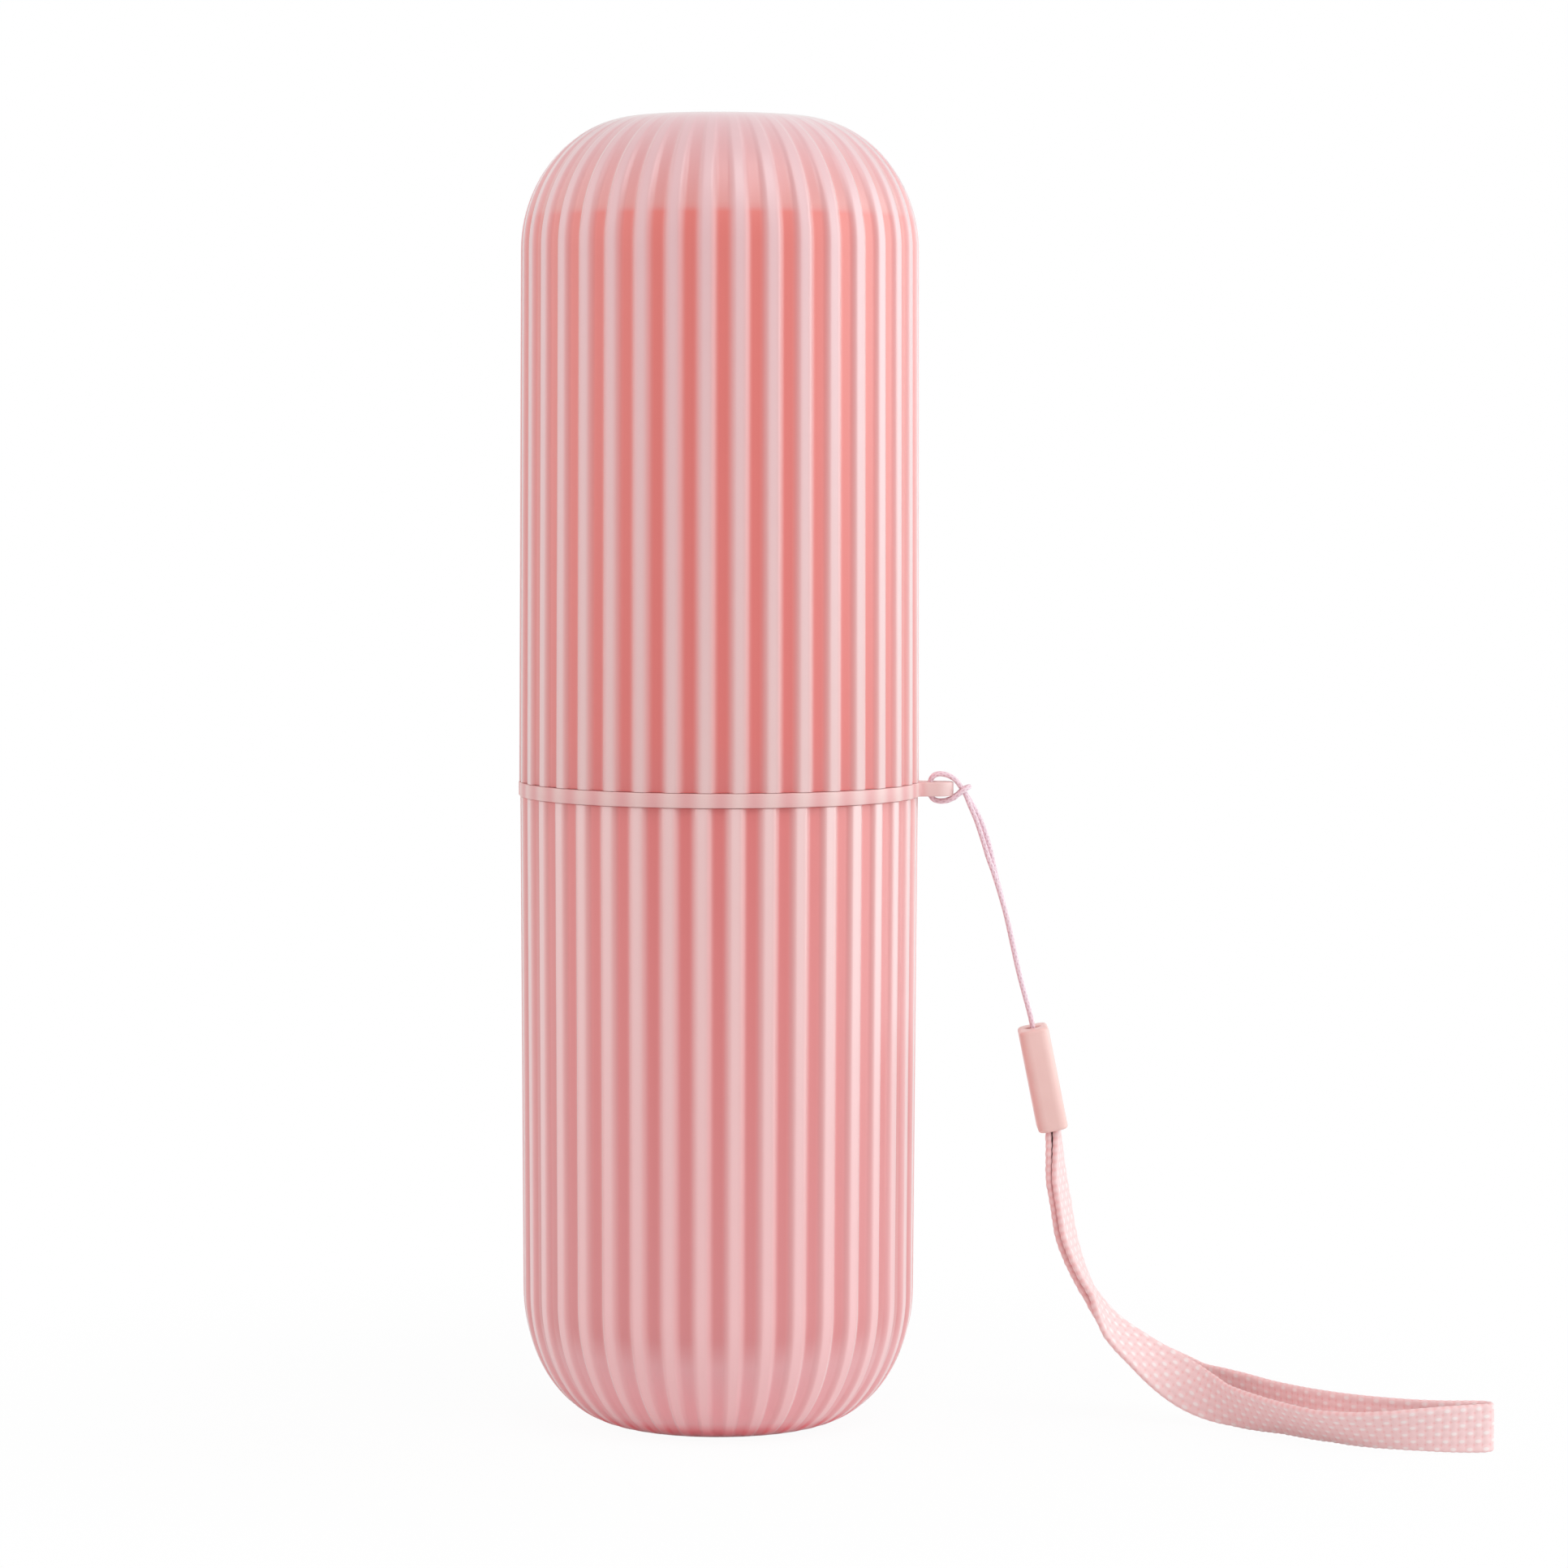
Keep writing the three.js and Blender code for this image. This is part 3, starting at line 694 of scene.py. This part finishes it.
def lathe_tree():
    tree, given = new_tree("ribbed_lathe", {
        "Rib Count": "Int", "Steps per Rib": "Int", "Groove Turn": "Float", "Rib Height": "Float",
        "Root": "Float", "Crest": "Float", "Finish": "Material"})
    outline = given["Line"].then("MeshToCurve")
    ring = given.node("GeometryNodeCurvePrimitiveCircle", {
        "Resolution": given["Rib Count"] * given["Steps per Rib"], "Radius": SPINDLE})
    skin = ring.then("CurveToMesh", {"Profile Curve": outline})
    skin = skin.then("MergeByDistance", {"Distance": MERGE_DISTANCE})
    place = skin.node("GeometryNodeInputPosition").split()
    angle = place["Y"].math("ARCTAN2", place["X"])
    ribs = (angle - given["Groove Turn"]) / math.tau * given["Rib Count"]
    from_groove = abs(middle(ribs + 0.5))
    groove = 1 - from_groove.fade(given["Root"], given["Crest"])
    shade = 1 - from_groove.fade(SHADE_FULL, SHADE_GONE)
    drop = kept(skin, "drop", "FLOAT_VECTOR").split()
    fullness = (drop["X"] * drop["X"] + drop["Z"] * drop["Z"]).math("SQRT")
    skin = keep(skin, "shade", shade * fullness)
    sink = groove * given["Rib Height"]
    inward = skin.node("ShaderNodeCombineXYZ", {
        "X": angle.math("COSINE") * drop["X"] * sink,
        "Y": angle.math("SINE") * drop["X"] * sink,
        "Z": drop["Z"] * sink})
    close_tree(skin.then("SetPosition", {"Offset": inward}), given)
    return tree


LATHE = lathe_tree()


def turn_piece(name, outline, finish, closed=False, rib_height=0.0, steps=4, groove_turn=0.0):
    """Turn an outline, given as rows of radius, height and the drop of a groove there."""
    points = [(radius - SPINDLE, -height, 0) for radius, height, *drop in outline]
    drops = [(drop[0], 0, drop[1]) if drop else (0, 0, 0) for radius, height, *drop in outline]
    return grow(name, points, LATHE, {
        "Rib Count": RIB_COUNT, "Steps per Rib": steps, "Groove Turn": groove_turn,
        "Rib Height": rib_height, "Root": GROOVE_ROOT, "Crest": GROOVE_CREST, "Finish": finish},
        closed, drop=drops)


print("ribs:", RIB_COUNT, "of pitch", round(math.tau * CAPSULE_RADIUS / RIB_COUNT / MM, 2), "mm")

# %% [markdown]
# ## The outlines of the two halves
#
# A shell is one cup of thin plastic, so its outline runs over the outside, round a small lip at
# the mouth and back along the inside. The wall leans in very slightly, as a moulded cup must to
# leave its mould, the shoulder is a quarter of an ellipse, and the end is flat. Both halves follow
# that rule with their own numbers, so one class serves both. The grooves fade out on the shoulder,
# from an angle that is low on the cover and higher on the base.

# %% Outlines of the two halves
SHELL_INSET = 1.75 * MM
LIP_ROUND = 0.12 * MM
LIP_TURNS = (0, 30, 60, 90)
GROOVES_GONE = 84  # degrees up the shoulder


class Half:
    """One half of the capsule's outline over its ribs, from its closed end to its mouth."""

    def __init__(self, mouth, mouth_radius, shoulder, shoulder_radius, end, end_radius, fade_from):
        self.mouth, self.mouth_radius = mouth, mouth_radius
        self.shoulder, self.shoulder_radius = shoulder, shoulder_radius
        self.end, self.end_radius = end, end_radius
        self.fade_from = fade_from
        self.up = math.copysign(1, end - mouth)

    def curve(self, inset, steps):
        """Rows of radius, height, outward direction and angle on the shoulder, moved inwards."""
        across = self.shoulder_radius - self.end_radius
        rise = self.end - self.shoulder
        for i in range(steps + 1):
            angle = math.pi / 2 * (1 - i / steps)
            out = Vector((math.cos(angle) / across, math.sin(angle) / rise)).normalized()
            yield (self.end_radius + across * math.cos(angle) - inset * out.x,
                   self.shoulder + rise * math.sin(angle) - inset * out.y, out, angle)

    def flat(self, inset, radii):
        return [(radius, self.end - self.up * inset) for radius in radii]

    def lip(self, radius, way, turns, *drop):
        """A small round at the mouth, bending inwards or outwards from a radius."""
        for bend in map(math.radians, turns):
            yield (radius + way * LIP_ROUND * (1 - math.cos(bend)),
                   self.mouth + self.up * LIP_ROUND * (1 - math.sin(bend)), *drop)

    def wall(self, inset, reach):
        """The wall moved inwards, from the mouth as far as a height on the shoulder curve."""
        rows = [(self.mouth_radius - inset, self.mouth)]
        rows += [row[:2] for row in self.curve(inset, 24)][::-1]
        radii, heights = np.array(rows).T
        last = np.interp(self.up * reach, self.up * heights, radii)
        return [row for row in rows if self.up * row[1] < self.up * reach] + [(last, reach)]


def smooth_share(value, low, high):
    """0 up to low and 1 from high, eased at both ends."""
    t = min(max((value - low) / (high - low), 0), 1)
    return t * t * (3 - 2 * t)


def shell_outline(half):
    """Outline of a shell: over the outside to the mouth, round its lip, and back inside."""
    rows = half.flat(0, [0, 4 * MM, 8 * MM])
    for radius, height, out, angle in half.curve(0, 28):
        share = 1 - smooth_share(math.degrees(angle), half.fade_from, GROOVES_GONE)
        rows.append((radius, height, -out.x * share, -out.y * share))
    rows += half.lip(half.mouth_radius, -1, LIP_TURNS, -1, 0)
    rows += half.lip(half.mouth_radius - SHELL_INSET, 1, LIP_TURNS[::-1])
    rows += [row[:2] for row in half.curve(SHELL_INSET, 12)][::-1]
    rows += half.flat(SHELL_INSET, [6 * MM, 0])
    return rows if half.up > 0 else rows[::-1]


COVER = Half(mouth=96.8 * MM, mouth_radius=CAPSULE_RADIUS, shoulder=176 * MM,
             shoulder_radius=29.7 * MM, end=196 * MM, end_radius=11.5 * MM, fade_from=12)
BASE = Half(mouth=94.6 * MM, mouth_radius=29.85 * MM, shoulder=20.4 * MM,
            shoulder_radius=29.42 * MM, end=0, end_radius=14 * MM, fade_from=45)
for node, half in (("upper_shell", COVER), ("lower_shell", BASE)):
    low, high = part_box(node)
    print(node, "packed from", round(low.z / MM, 2), "to", round(high.z / MM, 2),
          "and drawn between", round(half.mouth / MM, 2), "and", round(half.end / MM, 2), "mm")

# %% [markdown]
# ## The finish of the shells
#
# The plastic is milky. On a rib it is thick and looks pale pink, and in a groove it is thin and
# lets the coral tube behind it through. Past the ends of that tube, on the dome and at the foot,
# the grooves are only a little deeper in colour than the ribs. Real see-through plastic is slow to
# render and hard to export. Instead the tree stored a shade, full in a groove and gone at the top
# of a rib, with soft flanks because milky plastic blurs what is behind it. The shade mixes the two
# colours, and the height along the case says what stands behind the groove there. Just above the
# foot both colours are painted a brighter red, as painted light, and at the very edge of the foot
# they turn a deep red, as a thin line of painted contact shadow. At the crown they are painted a
# little darker, as painted shade.

# %% Shell finish
# Painted contact shadow: a thin deep red line along the foot's lower edge, where it meets the table
PAINTED_FOOT_SHADOW = (255, 50, 80)


def shell_finish():
    material, start, shader = new_finish("frosted_shell", {
        "Roughness": 0.45, "IOR": PLASTIC_IOR, "Sheen Weight": 0.9, "Sheen Roughness": 0.4,
        "Coat Weight": 1.0, "Coat Roughness": 0.4})
    place = start.node("ShaderNodeTexCoord", output="Object")
    height = place.split()["Z"] / COVER.end
    behind = ramp(height, [
        # painted contact shadow at the foot's edge
        (0.006, PAINTED_FOOT_SHADOW),
        # a brighter red just above the foot line, painted light for the dimmer foot
        (0.014, (246, 162, 167)),
        (0.063, (231, 161, 165)),  # foot of the lower tube
        (0.084, (219, 130, 132)),
        (0.49, (218, 108, 106)),
        (0.535, (225, 107, 102)),
        (0.9235, (227, 112, 104)),  # top of the upper tube
        (0.9265, (225, 144, 140)),
        (0.98, (223, 144, 146)),
        # painted shade: darker at the crown's edge
        (1.0, (221, 130, 137)),
    ])
    rib = ramp(height, [
        # painted contact shadow at the foot's edge
        (0.006, PAINTED_FOOT_SHADOW),
        # a brighter red just above the foot line, painted light for the dimmer foot
        (0.014, (248, 192, 194)),
        (0.5, (236, 196, 195)),
        (0.98, (231, 186, 190)),
        # painted shade: darker at the crown's edge
        (1.0, (228, 173, 179)),
    ])
    feed(mix_colours(stored(start, "shade"), rib, behind), shader, "Base Color")
    grain = noise(place, 0.25 * MM)
    feed(bump(grain, 0.06, 0.05 * MM), shader, "Normal")
    return material


# Piece, node, body, half, and the angle of one groove in degrees
SHELLS = [
    ("cover_shell_ribbed", "upper_shell", "cover", COVER, -88.4),
    ("base_shell_ribbed", "lower_shell", "lower_cup", BASE, -89.4),
]
SHELL_FINISH = shell_finish()
for name, node, body, half, turn in SHELLS:
    shell = turn_piece(name, shell_outline(half), SHELL_FINISH, rib_height=RIB_HEIGHT, steps=24,
                       groove_turn=math.radians(turn))
    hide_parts(node)
    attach(shell, body)
    report(shell)

# %% [markdown]
# ## The coral tubes
#
# Inside each shell sits a smooth coral tube, open at both ends. The lower one rises past the rim
# as a narrower neck, which the cover plugs onto and which shows when the case is open. They have
# no ribs, so the same turning tree makes them with a rib height of nothing. Their outlines have
# hard corners, and a moulded edge never has, so each corner is swapped for a short arc.

# %% Coral tubes
LINER_OUTER, LINER_INNER = 2.05 * MM, 3.05 * MM
LINER_TOP, LINER_FOOT = 181.5 * MM, 12.5 * MM
NECK_TOP, NECK_RADIUS, NECK_WALL = 103 * MM, 26.63 * MM, 1 * MM
NECK_STEP_TOP, NECK_STEP_FOOT = 93.5 * MM, 92.3 * MM
LINER_EDGE = 0.2 * MM
LEAST_CORNER = math.radians(25)


def round_corners(outline, radius):
    """Swap each hard corner of a closed outline for a short arc."""
    rounded = []
    count = len(outline)
    for i in range(count):
        corner = Vector(outline[i])
        to_last = Vector(outline[i - 1]) - corner
        to_next = Vector(outline[(i + 1) % count]) - corner
        turn = math.pi - to_last.angle(to_next)
        if turn < LEAST_CORNER:
            rounded.append(tuple(corner))
            continue
        back = radius * math.tan(turn / 2)
        start, stop = corner + to_last.normalized() * back, corner + to_next.normalized() * back
        for t in (0, 0.25, 0.5, 0.75, 1):
            rounded.append(tuple(start * (1 - t) ** 2 + corner * 2 * t * (1 - t) + stop * t ** 2))
    return rounded


LINER_FINISH = moulded_finish("coral_liner", 0.38, (paint(222, 106, 98), paint(230, 120, 110)),
                              drift=9 * MM, grain=0.3 * MM, depth=0.05 * MM)
upper_outline = COVER.wall(LINER_OUTER, LINER_TOP) + COVER.wall(LINER_INNER, LINER_TOP)[::-1]
neck = [(NECK_RADIUS, BASE.mouth), (NECK_RADIUS, NECK_TOP), (NECK_RADIUS - NECK_WALL, NECK_TOP),
        (NECK_RADIUS - NECK_WALL, NECK_STEP_TOP),
        (BASE.mouth_radius - LINER_INNER, NECK_STEP_FOOT)]
lower_outline = (BASE.wall(LINER_OUTER, LINER_FOOT)[::-1] + neck
                 + BASE.wall(LINER_INNER, LINER_FOOT)[1:])
# Piece, node, body and outline
LINERS = [
    ("cover_liner", "upper_liner", "cover", upper_outline[::-1]),
    ("base_liner", "lower_liner", "lower_cup", lower_outline[::-1]),
]
for name, node, body, outline in LINERS:
    liner = turn_piece(name, round_corners(outline, LINER_EDGE), LINER_FINISH, closed=True)
    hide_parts(node)
    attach(liner, body)
    report(liner)

# %% [markdown]
# ## The ring and its lug
#
# A thin ring lies loose in the seam and turns round the neck. On one side it runs out into a flat
# lug with a hole for the cord. It is a flat shape of one thickness, so it is drawn as an outline
# with two holes, and the curve tools give it its thickness and small round edges. Its rim has the
# ribs of the shells too, but much shallower, so they are drawn as a wave in the outline.

# %% Swivel ring
RING_INNER, RING_OUTER = 26.93 * MM, 30.1 * MM
RING_BOTTOM, RING_TOP = 94.65 * MM, 96.75 * MM
LUG_TIP, LUG_WIDTH = 35.2 * MM, 5.2 * MM
LUG_HOLE, LUG_HOLE_PLACE = 2.1 * MM, 31.65 * MM
LUG_ROOT_ROUND, RING_EDGE = 0.8 * MM, 0.15 * MM
RING_RIB_HEIGHT, RING_GROOVE_TURN = 0.12 * MM, math.radians(-88.9)
LUG_FADE = 1.5 * MM
SHARP_CORNER = math.radians(35)


def arc(centre_x, centre_y, radius, start, stop, steps):
    """Points on an arc between two angles, in degrees."""
    return [(centre_x + radius * math.cos(angle), centre_y + radius * math.sin(angle))
            for angle in np.radians(np.linspace(start, stop, steps))]


def circle(centre_x, radius, steps):
    return arc(centre_x, 0, radius, 0, 360, steps + 1)[:-1]


def ring_outline():
    """Round the ring and out round the lug, with a small curve where they meet."""
    half, root = LUG_WIDTH / 2, LUG_ROOT_ROUND
    reach = math.sqrt((RING_OUTER + root) ** 2 - (half + root) ** 2)
    meet = math.degrees(math.atan2(half + root, reach))
    upper = arc(reach, half + root, root, 270, 180 + meet, 8)
    lower = [(x, -y) for x, y in upper[::-1]]
    tip = arc(LUG_TIP - half, 0, half, -90, 90, 33)
    rim = []
    for angle in np.radians(np.linspace(meet, 360 - meet, RIB_COUNT * 10)[1:-1]):
        wave = 0.5 + 0.5 * math.cos((angle - RING_GROOVE_TURN) * RIB_COUNT)
        radius = RING_OUTER - RING_RIB_HEIGHT * wave
        rim.append((radius * math.cos(angle), radius * math.sin(angle)))
    return lower + tip + upper + rim


def flat_piece(name, outlines, bottom, top, edge, finish):
    """A flat plate from closed outlines, the later ones holes, with round edges."""
    curve = bpy.data.curves.new(name, "CURVE")
    curve.dimensions = "2D"
    curve.fill_mode = "BOTH"
    for outline in outlines:
        spline = curve.splines.new("POLY")
        spline.points.add(len(outline) - 1)
        for point, (x, y) in zip(spline.points, outline):
            point.co = (x, y, 0, 1)
        spline.use_cyclic_u = True
    curve.extrude = (top - bottom) / 2 - edge
    curve.bevel_depth = edge
    curve.bevel_resolution = 2
    curve.offset = -edge
    drawn = new_piece(name, curve)
    mesh = bpy.data.meshes.new_from_object(drawn)
    bpy.data.objects.remove(drawn)
    shape = bmesh.new()
    shape.from_mesh(mesh)
    bmesh.ops.remove_doubles(shape, verts=shape.verts, dist=0.0001 * MM)
    bmesh.ops.translate(shape, verts=shape.verts, vec=(0, 0, (top + bottom) / 2))
    bmesh.ops.recalc_face_normals(shape, faces=shape.faces)
    shape.to_mesh(mesh)
    shape.free()
    return finished(name, mesh, finish)


def finished(name, mesh, finish):
    """A piece with its finish, smooth except at its hard corners."""
    mesh.materials.clear()
    mesh.materials.append(finish)
    mesh.shade_smooth()
    mesh.set_sharp_from_angle(angle=SHARP_CORNER)
    return new_piece(name, mesh)


def deeper_grooves(place, colour):
    """A little more colour in the ring's shallow grooves, and none on its lug."""
    ways = place.split()
    angle = ways["Y"].math("ARCTAN2", ways["X"])
    wave = cosine((angle - RING_GROOVE_TURN) * (RIB_COUNT / math.pi)) * 0.5 + 0.5
    on_ring = 1 - ways["X"].fade(RING_OUTER, RING_OUTER + LUG_FADE)
    return mix_colours(wave * on_ring, colour, paint(229, 168, 168))


RING_FINISH = moulded_finish("ring_plastic", 0.45, (paint(235, 197, 195), paint(238, 204, 200)),
                             drift=4 * MM, grain=0.2 * MM, depth=0.04 * MM, change=deeper_grooves)
ring_outlines = [ring_outline(), circle(0, RING_INNER, 240), circle(LUG_HOLE_PLACE, LUG_HOLE / 2, 48)]
ring = flat_piece("swivel_ring", ring_outlines, RING_BOTTOM, RING_TOP, RING_EDGE, RING_FINISH)
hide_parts("strap_ring")
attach(ring, "swivel")
report(ring)

# %% [markdown]
# ## The sleeve
#
# The sleeve is a small flat tube of the same plastic: a round hole for the cord in its roof, and a
# slot from below that holds the two ends of the strap. It is lofted from oblongs that all have the
# same number of points. The list of oblongs goes down the outside, turns in at the lower end and
# comes back up the inside to the hole, so the skin closes on itself without any cuts.

# %% Sleeve
# Half the length along x, half along y, and the radius of the corners
SLEEVE_OBLONG = (2.25 * MM, 4.6 * MM, 1.5 * MM)
SLOT_OBLONG = (1.45 * MM, 4.0 * MM, 1.0 * MM)
CORD_HOLE = (1.2 * MM, 1.2 * MM, 1.2 * MM)
SLEEVE_EDGE, SLOT_EDGE, HOLE_EDGE = 0.5 * MM, 0.15 * MM, 0.25 * MM
SLEEVE_ROOF = 1.4 * MM
CORNER_STEPS = 12


def oblong_ring(oblong, more, depth):
    """A ring of points round an oblong, made larger by more, at a depth in the sleeve."""
    half_x, half_y, corner = [size + more for size in oblong]
    points = []
    for turn, (sx, sy) in enumerate(((1, 1), (-1, 1), (-1, -1), (1, -1))):
        for step in range(CORNER_STEPS + 1):
            angle = math.radians(90 * turn + 90 * step / CORNER_STEPS)
            points.append(in_sleeve(sx * (half_x - corner) + corner * math.cos(angle),
                                    sy * (half_y - corner) + corner * math.sin(angle), depth))
    return points


def quarter_round(edge):
    """Steps round a small edge: how far each lies from the side, and how far from the end."""
    turns = [math.radians(turn) for turn in (0, 22.5, 45, 67.5, 90)]
    return [(edge * (1 - math.sin(turn)), edge * (1 - math.cos(turn))) for turn in turns]


def loft(rings):
    """A skin over rings of points, closed both round each ring and from the last to the first."""
    count = len(rings[0])
    faces = []
    for i in range(len(rings)):
        here, after = i * count, (i + 1) % len(rings) * count
        for j in range(count):
            k = (j + 1) % count
            faces.append((here + j, after + j, after + k, here + k))
    mesh = bpy.data.meshes.new("loft")
    mesh.from_pydata([point for ring in rings for point in ring], [], faces)
    return mesh


rings = [oblong_ring(CORD_HOLE, side, end) for side, end in quarter_round(HOLE_EDGE)[::-1]]
rings += [oblong_ring(SLEEVE_OBLONG, -side, end) for side, end in quarter_round(SLEEVE_EDGE)]
rings += [oblong_ring(SLEEVE_OBLONG, -side, SLEEVE_LENGTH - end)
          for side, end in quarter_round(SLEEVE_EDGE)[::-1]]
rings += [oblong_ring(SLOT_OBLONG, side, SLEEVE_LENGTH - end)
          for side, end in quarter_round(SLOT_EDGE)]
rings += [oblong_ring(SLOT_OBLONG, 0, SLEEVE_ROOF), oblong_ring(CORD_HOLE, 0, SLEEVE_ROOF)]

SLEEVE_FINISH = moulded_finish("sleeve_plastic", 0.4, (paint(243, 197, 191), paint(248, 207, 201)),
                               drift=4 * MM, grain=0.2 * MM, depth=0.04 * MM)
sleeve = finished("strap_sleeve_moulded", loft(rings), SLEEVE_FINISH)
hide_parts("strap_sleeve")
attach(sleeve, "lanyard")
report(sleeve)

# %% [markdown]
# ## The knot
#
# The two ends of the cord are tied off under the roof of the sleeve, where nobody sees them. It is
# a plain overhand knot pulled small, and the curve that mathematicians call a trefoil is just that
# knot with its ends joined, so the plait runs along one.

# %% Knot
KNOT_DEPTH = 3.05 * MM
KNOT_SCALE, KNOT_RISE = 0.32 * MM, 0.352 * MM
KNOT_CORD_DIAMETER = 0.7 * MM
KNOT_POINTS = 120
knot_path = []
for turn in np.linspace(0, math.tau, KNOT_POINTS, endpoint=False):
    knot_path.append(in_sleeve(KNOT_SCALE * (math.sin(turn) + 2 * math.sin(2 * turn)),
                               KNOT_SCALE * (math.cos(turn) - 2 * math.cos(2 * turn)),
                               KNOT_DEPTH + KNOT_RISE * math.sin(3 * turn)))
knot = grow("cord_knot_tied", knot_path, PLAIT_TREE,
            {"Diameter": KNOT_CORD_DIAMETER, **PLAIT}, closed=True)
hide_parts("cord_knot")
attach(knot, "lanyard")
report(knot)

# %% [markdown]
# ## The table
#
# The picture has a pure white ground. The table is white, and it glows by itself where the camera
# or a reflection looks at it, so the ground has no end and no horizon. Close to the object it
# glows a little less, and there the plain white surface keeps a soft shadow. Under the foot,
# reflections see no glow at all, which darkens the foot's lower edge.

# %% Table
TABLE_HALF_SIDE = 3.0
GLOW_NEAR = 0.95
SHADOW_REACH = (50 * MM, 170 * MM)
FOOT_REACH = (14 * MM, 70 * MM)


def seen_directly(start, mirrored=1.0):
    """1 for rays from the camera, a given share for rays off or through a shiny surface, and 0 for
    rays that only carry light."""
    rays = start.node("ShaderNodeLightPath")
    shiny = rays["Is Glossy Ray"].math("MAXIMUM", rays["Is Transmission Ray"])
    return rays["Is Camera Ray"].math("MAXIMUM", shiny * mirrored)


def table_finish():
    material, start, shader = new_finish("white_table", {
        "Roughness": 0.9, "Base Color": (0.9, 0.9, 0.9, 1)})
    place = start.node("ShaderNodeTexCoord", output="Object")
    away = start.node("ShaderNodeVectorMath", {0: place}, "Value", operation="LENGTH")
    glow = start.node("ShaderNodeEmission", {"Color": (1, 1, 1, 1), "Strength": 1.0})
    share = away.fade(*SHADOW_REACH) * (1 - GLOW_NEAR) + GLOW_NEAR
    share = share * seen_directly(start, mirrored=away.fade(*FOOT_REACH))
    plain = Wire(material.node_tree, shader.outputs[0])
    both = start.node("ShaderNodeMixShader", {0: share, 1: plain, 2: glow})
    feed(both, material.node_tree.nodes["Material Output"], "Surface")
    return material


corners = [(x * TABLE_HALF_SIDE, y * TABLE_HALF_SIDE, 0)
           for x, y in ((-1, -1), (1, -1), (1, 1), (-1, 1))]
table_mesh = bpy.data.meshes.new("table")
table_mesh.from_pydata(corners, [], [(0, 1, 2, 3)])
table_mesh.materials.append(table_finish())
table = new_piece("table", table_mesh)
print("table half side, m:", TABLE_HALF_SIDE)

# %% [markdown]
# ## The light
#
# A soft panel on the right, very slightly cool, gives the broad pale shine on that side. A light
# above the camera brightens the front, and a wide, slightly warm one on the left keeps that side
# from going dark. Pale surroundings fill in the rest. The level is plain: a colour comes out about
# as it was written.

# %% Light
def soft_light(name, place, width, height, power, colour):
    """An oblong area light that faces the middle of the case, in metres, watts and a tint."""
    light = bpy.data.lights.new(name, "AREA")
    light.shape = "RECTANGLE"
    light.size, light.size_y = width, height
    light.energy = power
    light.color = colour
    lamp = new_piece(name, light)
    lamp.location = place
    aim = Vector((0, 0, COVER.end / 2)) - Vector(place)
    lamp.rotation_euler = aim.to_track_quat("-Z", "Y").to_euler()
    lamp.visible_camera = False


soft_light("right_panel", (0.82, 0.0, 0.32), 1.1, 0.6, 3.8, (0.85, 1.0, 1.0))
soft_light("top_light", (0.35, -0.7, 1.2), 0.8, 0.8, 5.8, (1.0, 1.0, 1.0))
soft_light("left_fill", (-0.95, -0.15, 0.3), 1.4, 1.4, 5.0, (1.0, 0.9, 0.88))

SKY_LEVEL, SKY_FROM_RIGHT, SKY_FROM_ABOVE = 0.43, 0.12, 0.05
world = bpy.data.worlds.new("white_room")
world.use_nodes = True
scene.world = world
background = world.node_tree.nodes["Background"]
background.inputs["Color"].default_value = (1, 1, 1, 1)
sky = Wire(world.node_tree)
facing = sky.node("ShaderNodeTexCoord").split()
lit = facing["X"] * SKY_FROM_RIGHT + facing["Z"] * SKY_FROM_ABOVE + SKY_LEVEL
feed(lit + (1 - lit) * seen_directly(sky), background, "Strength")
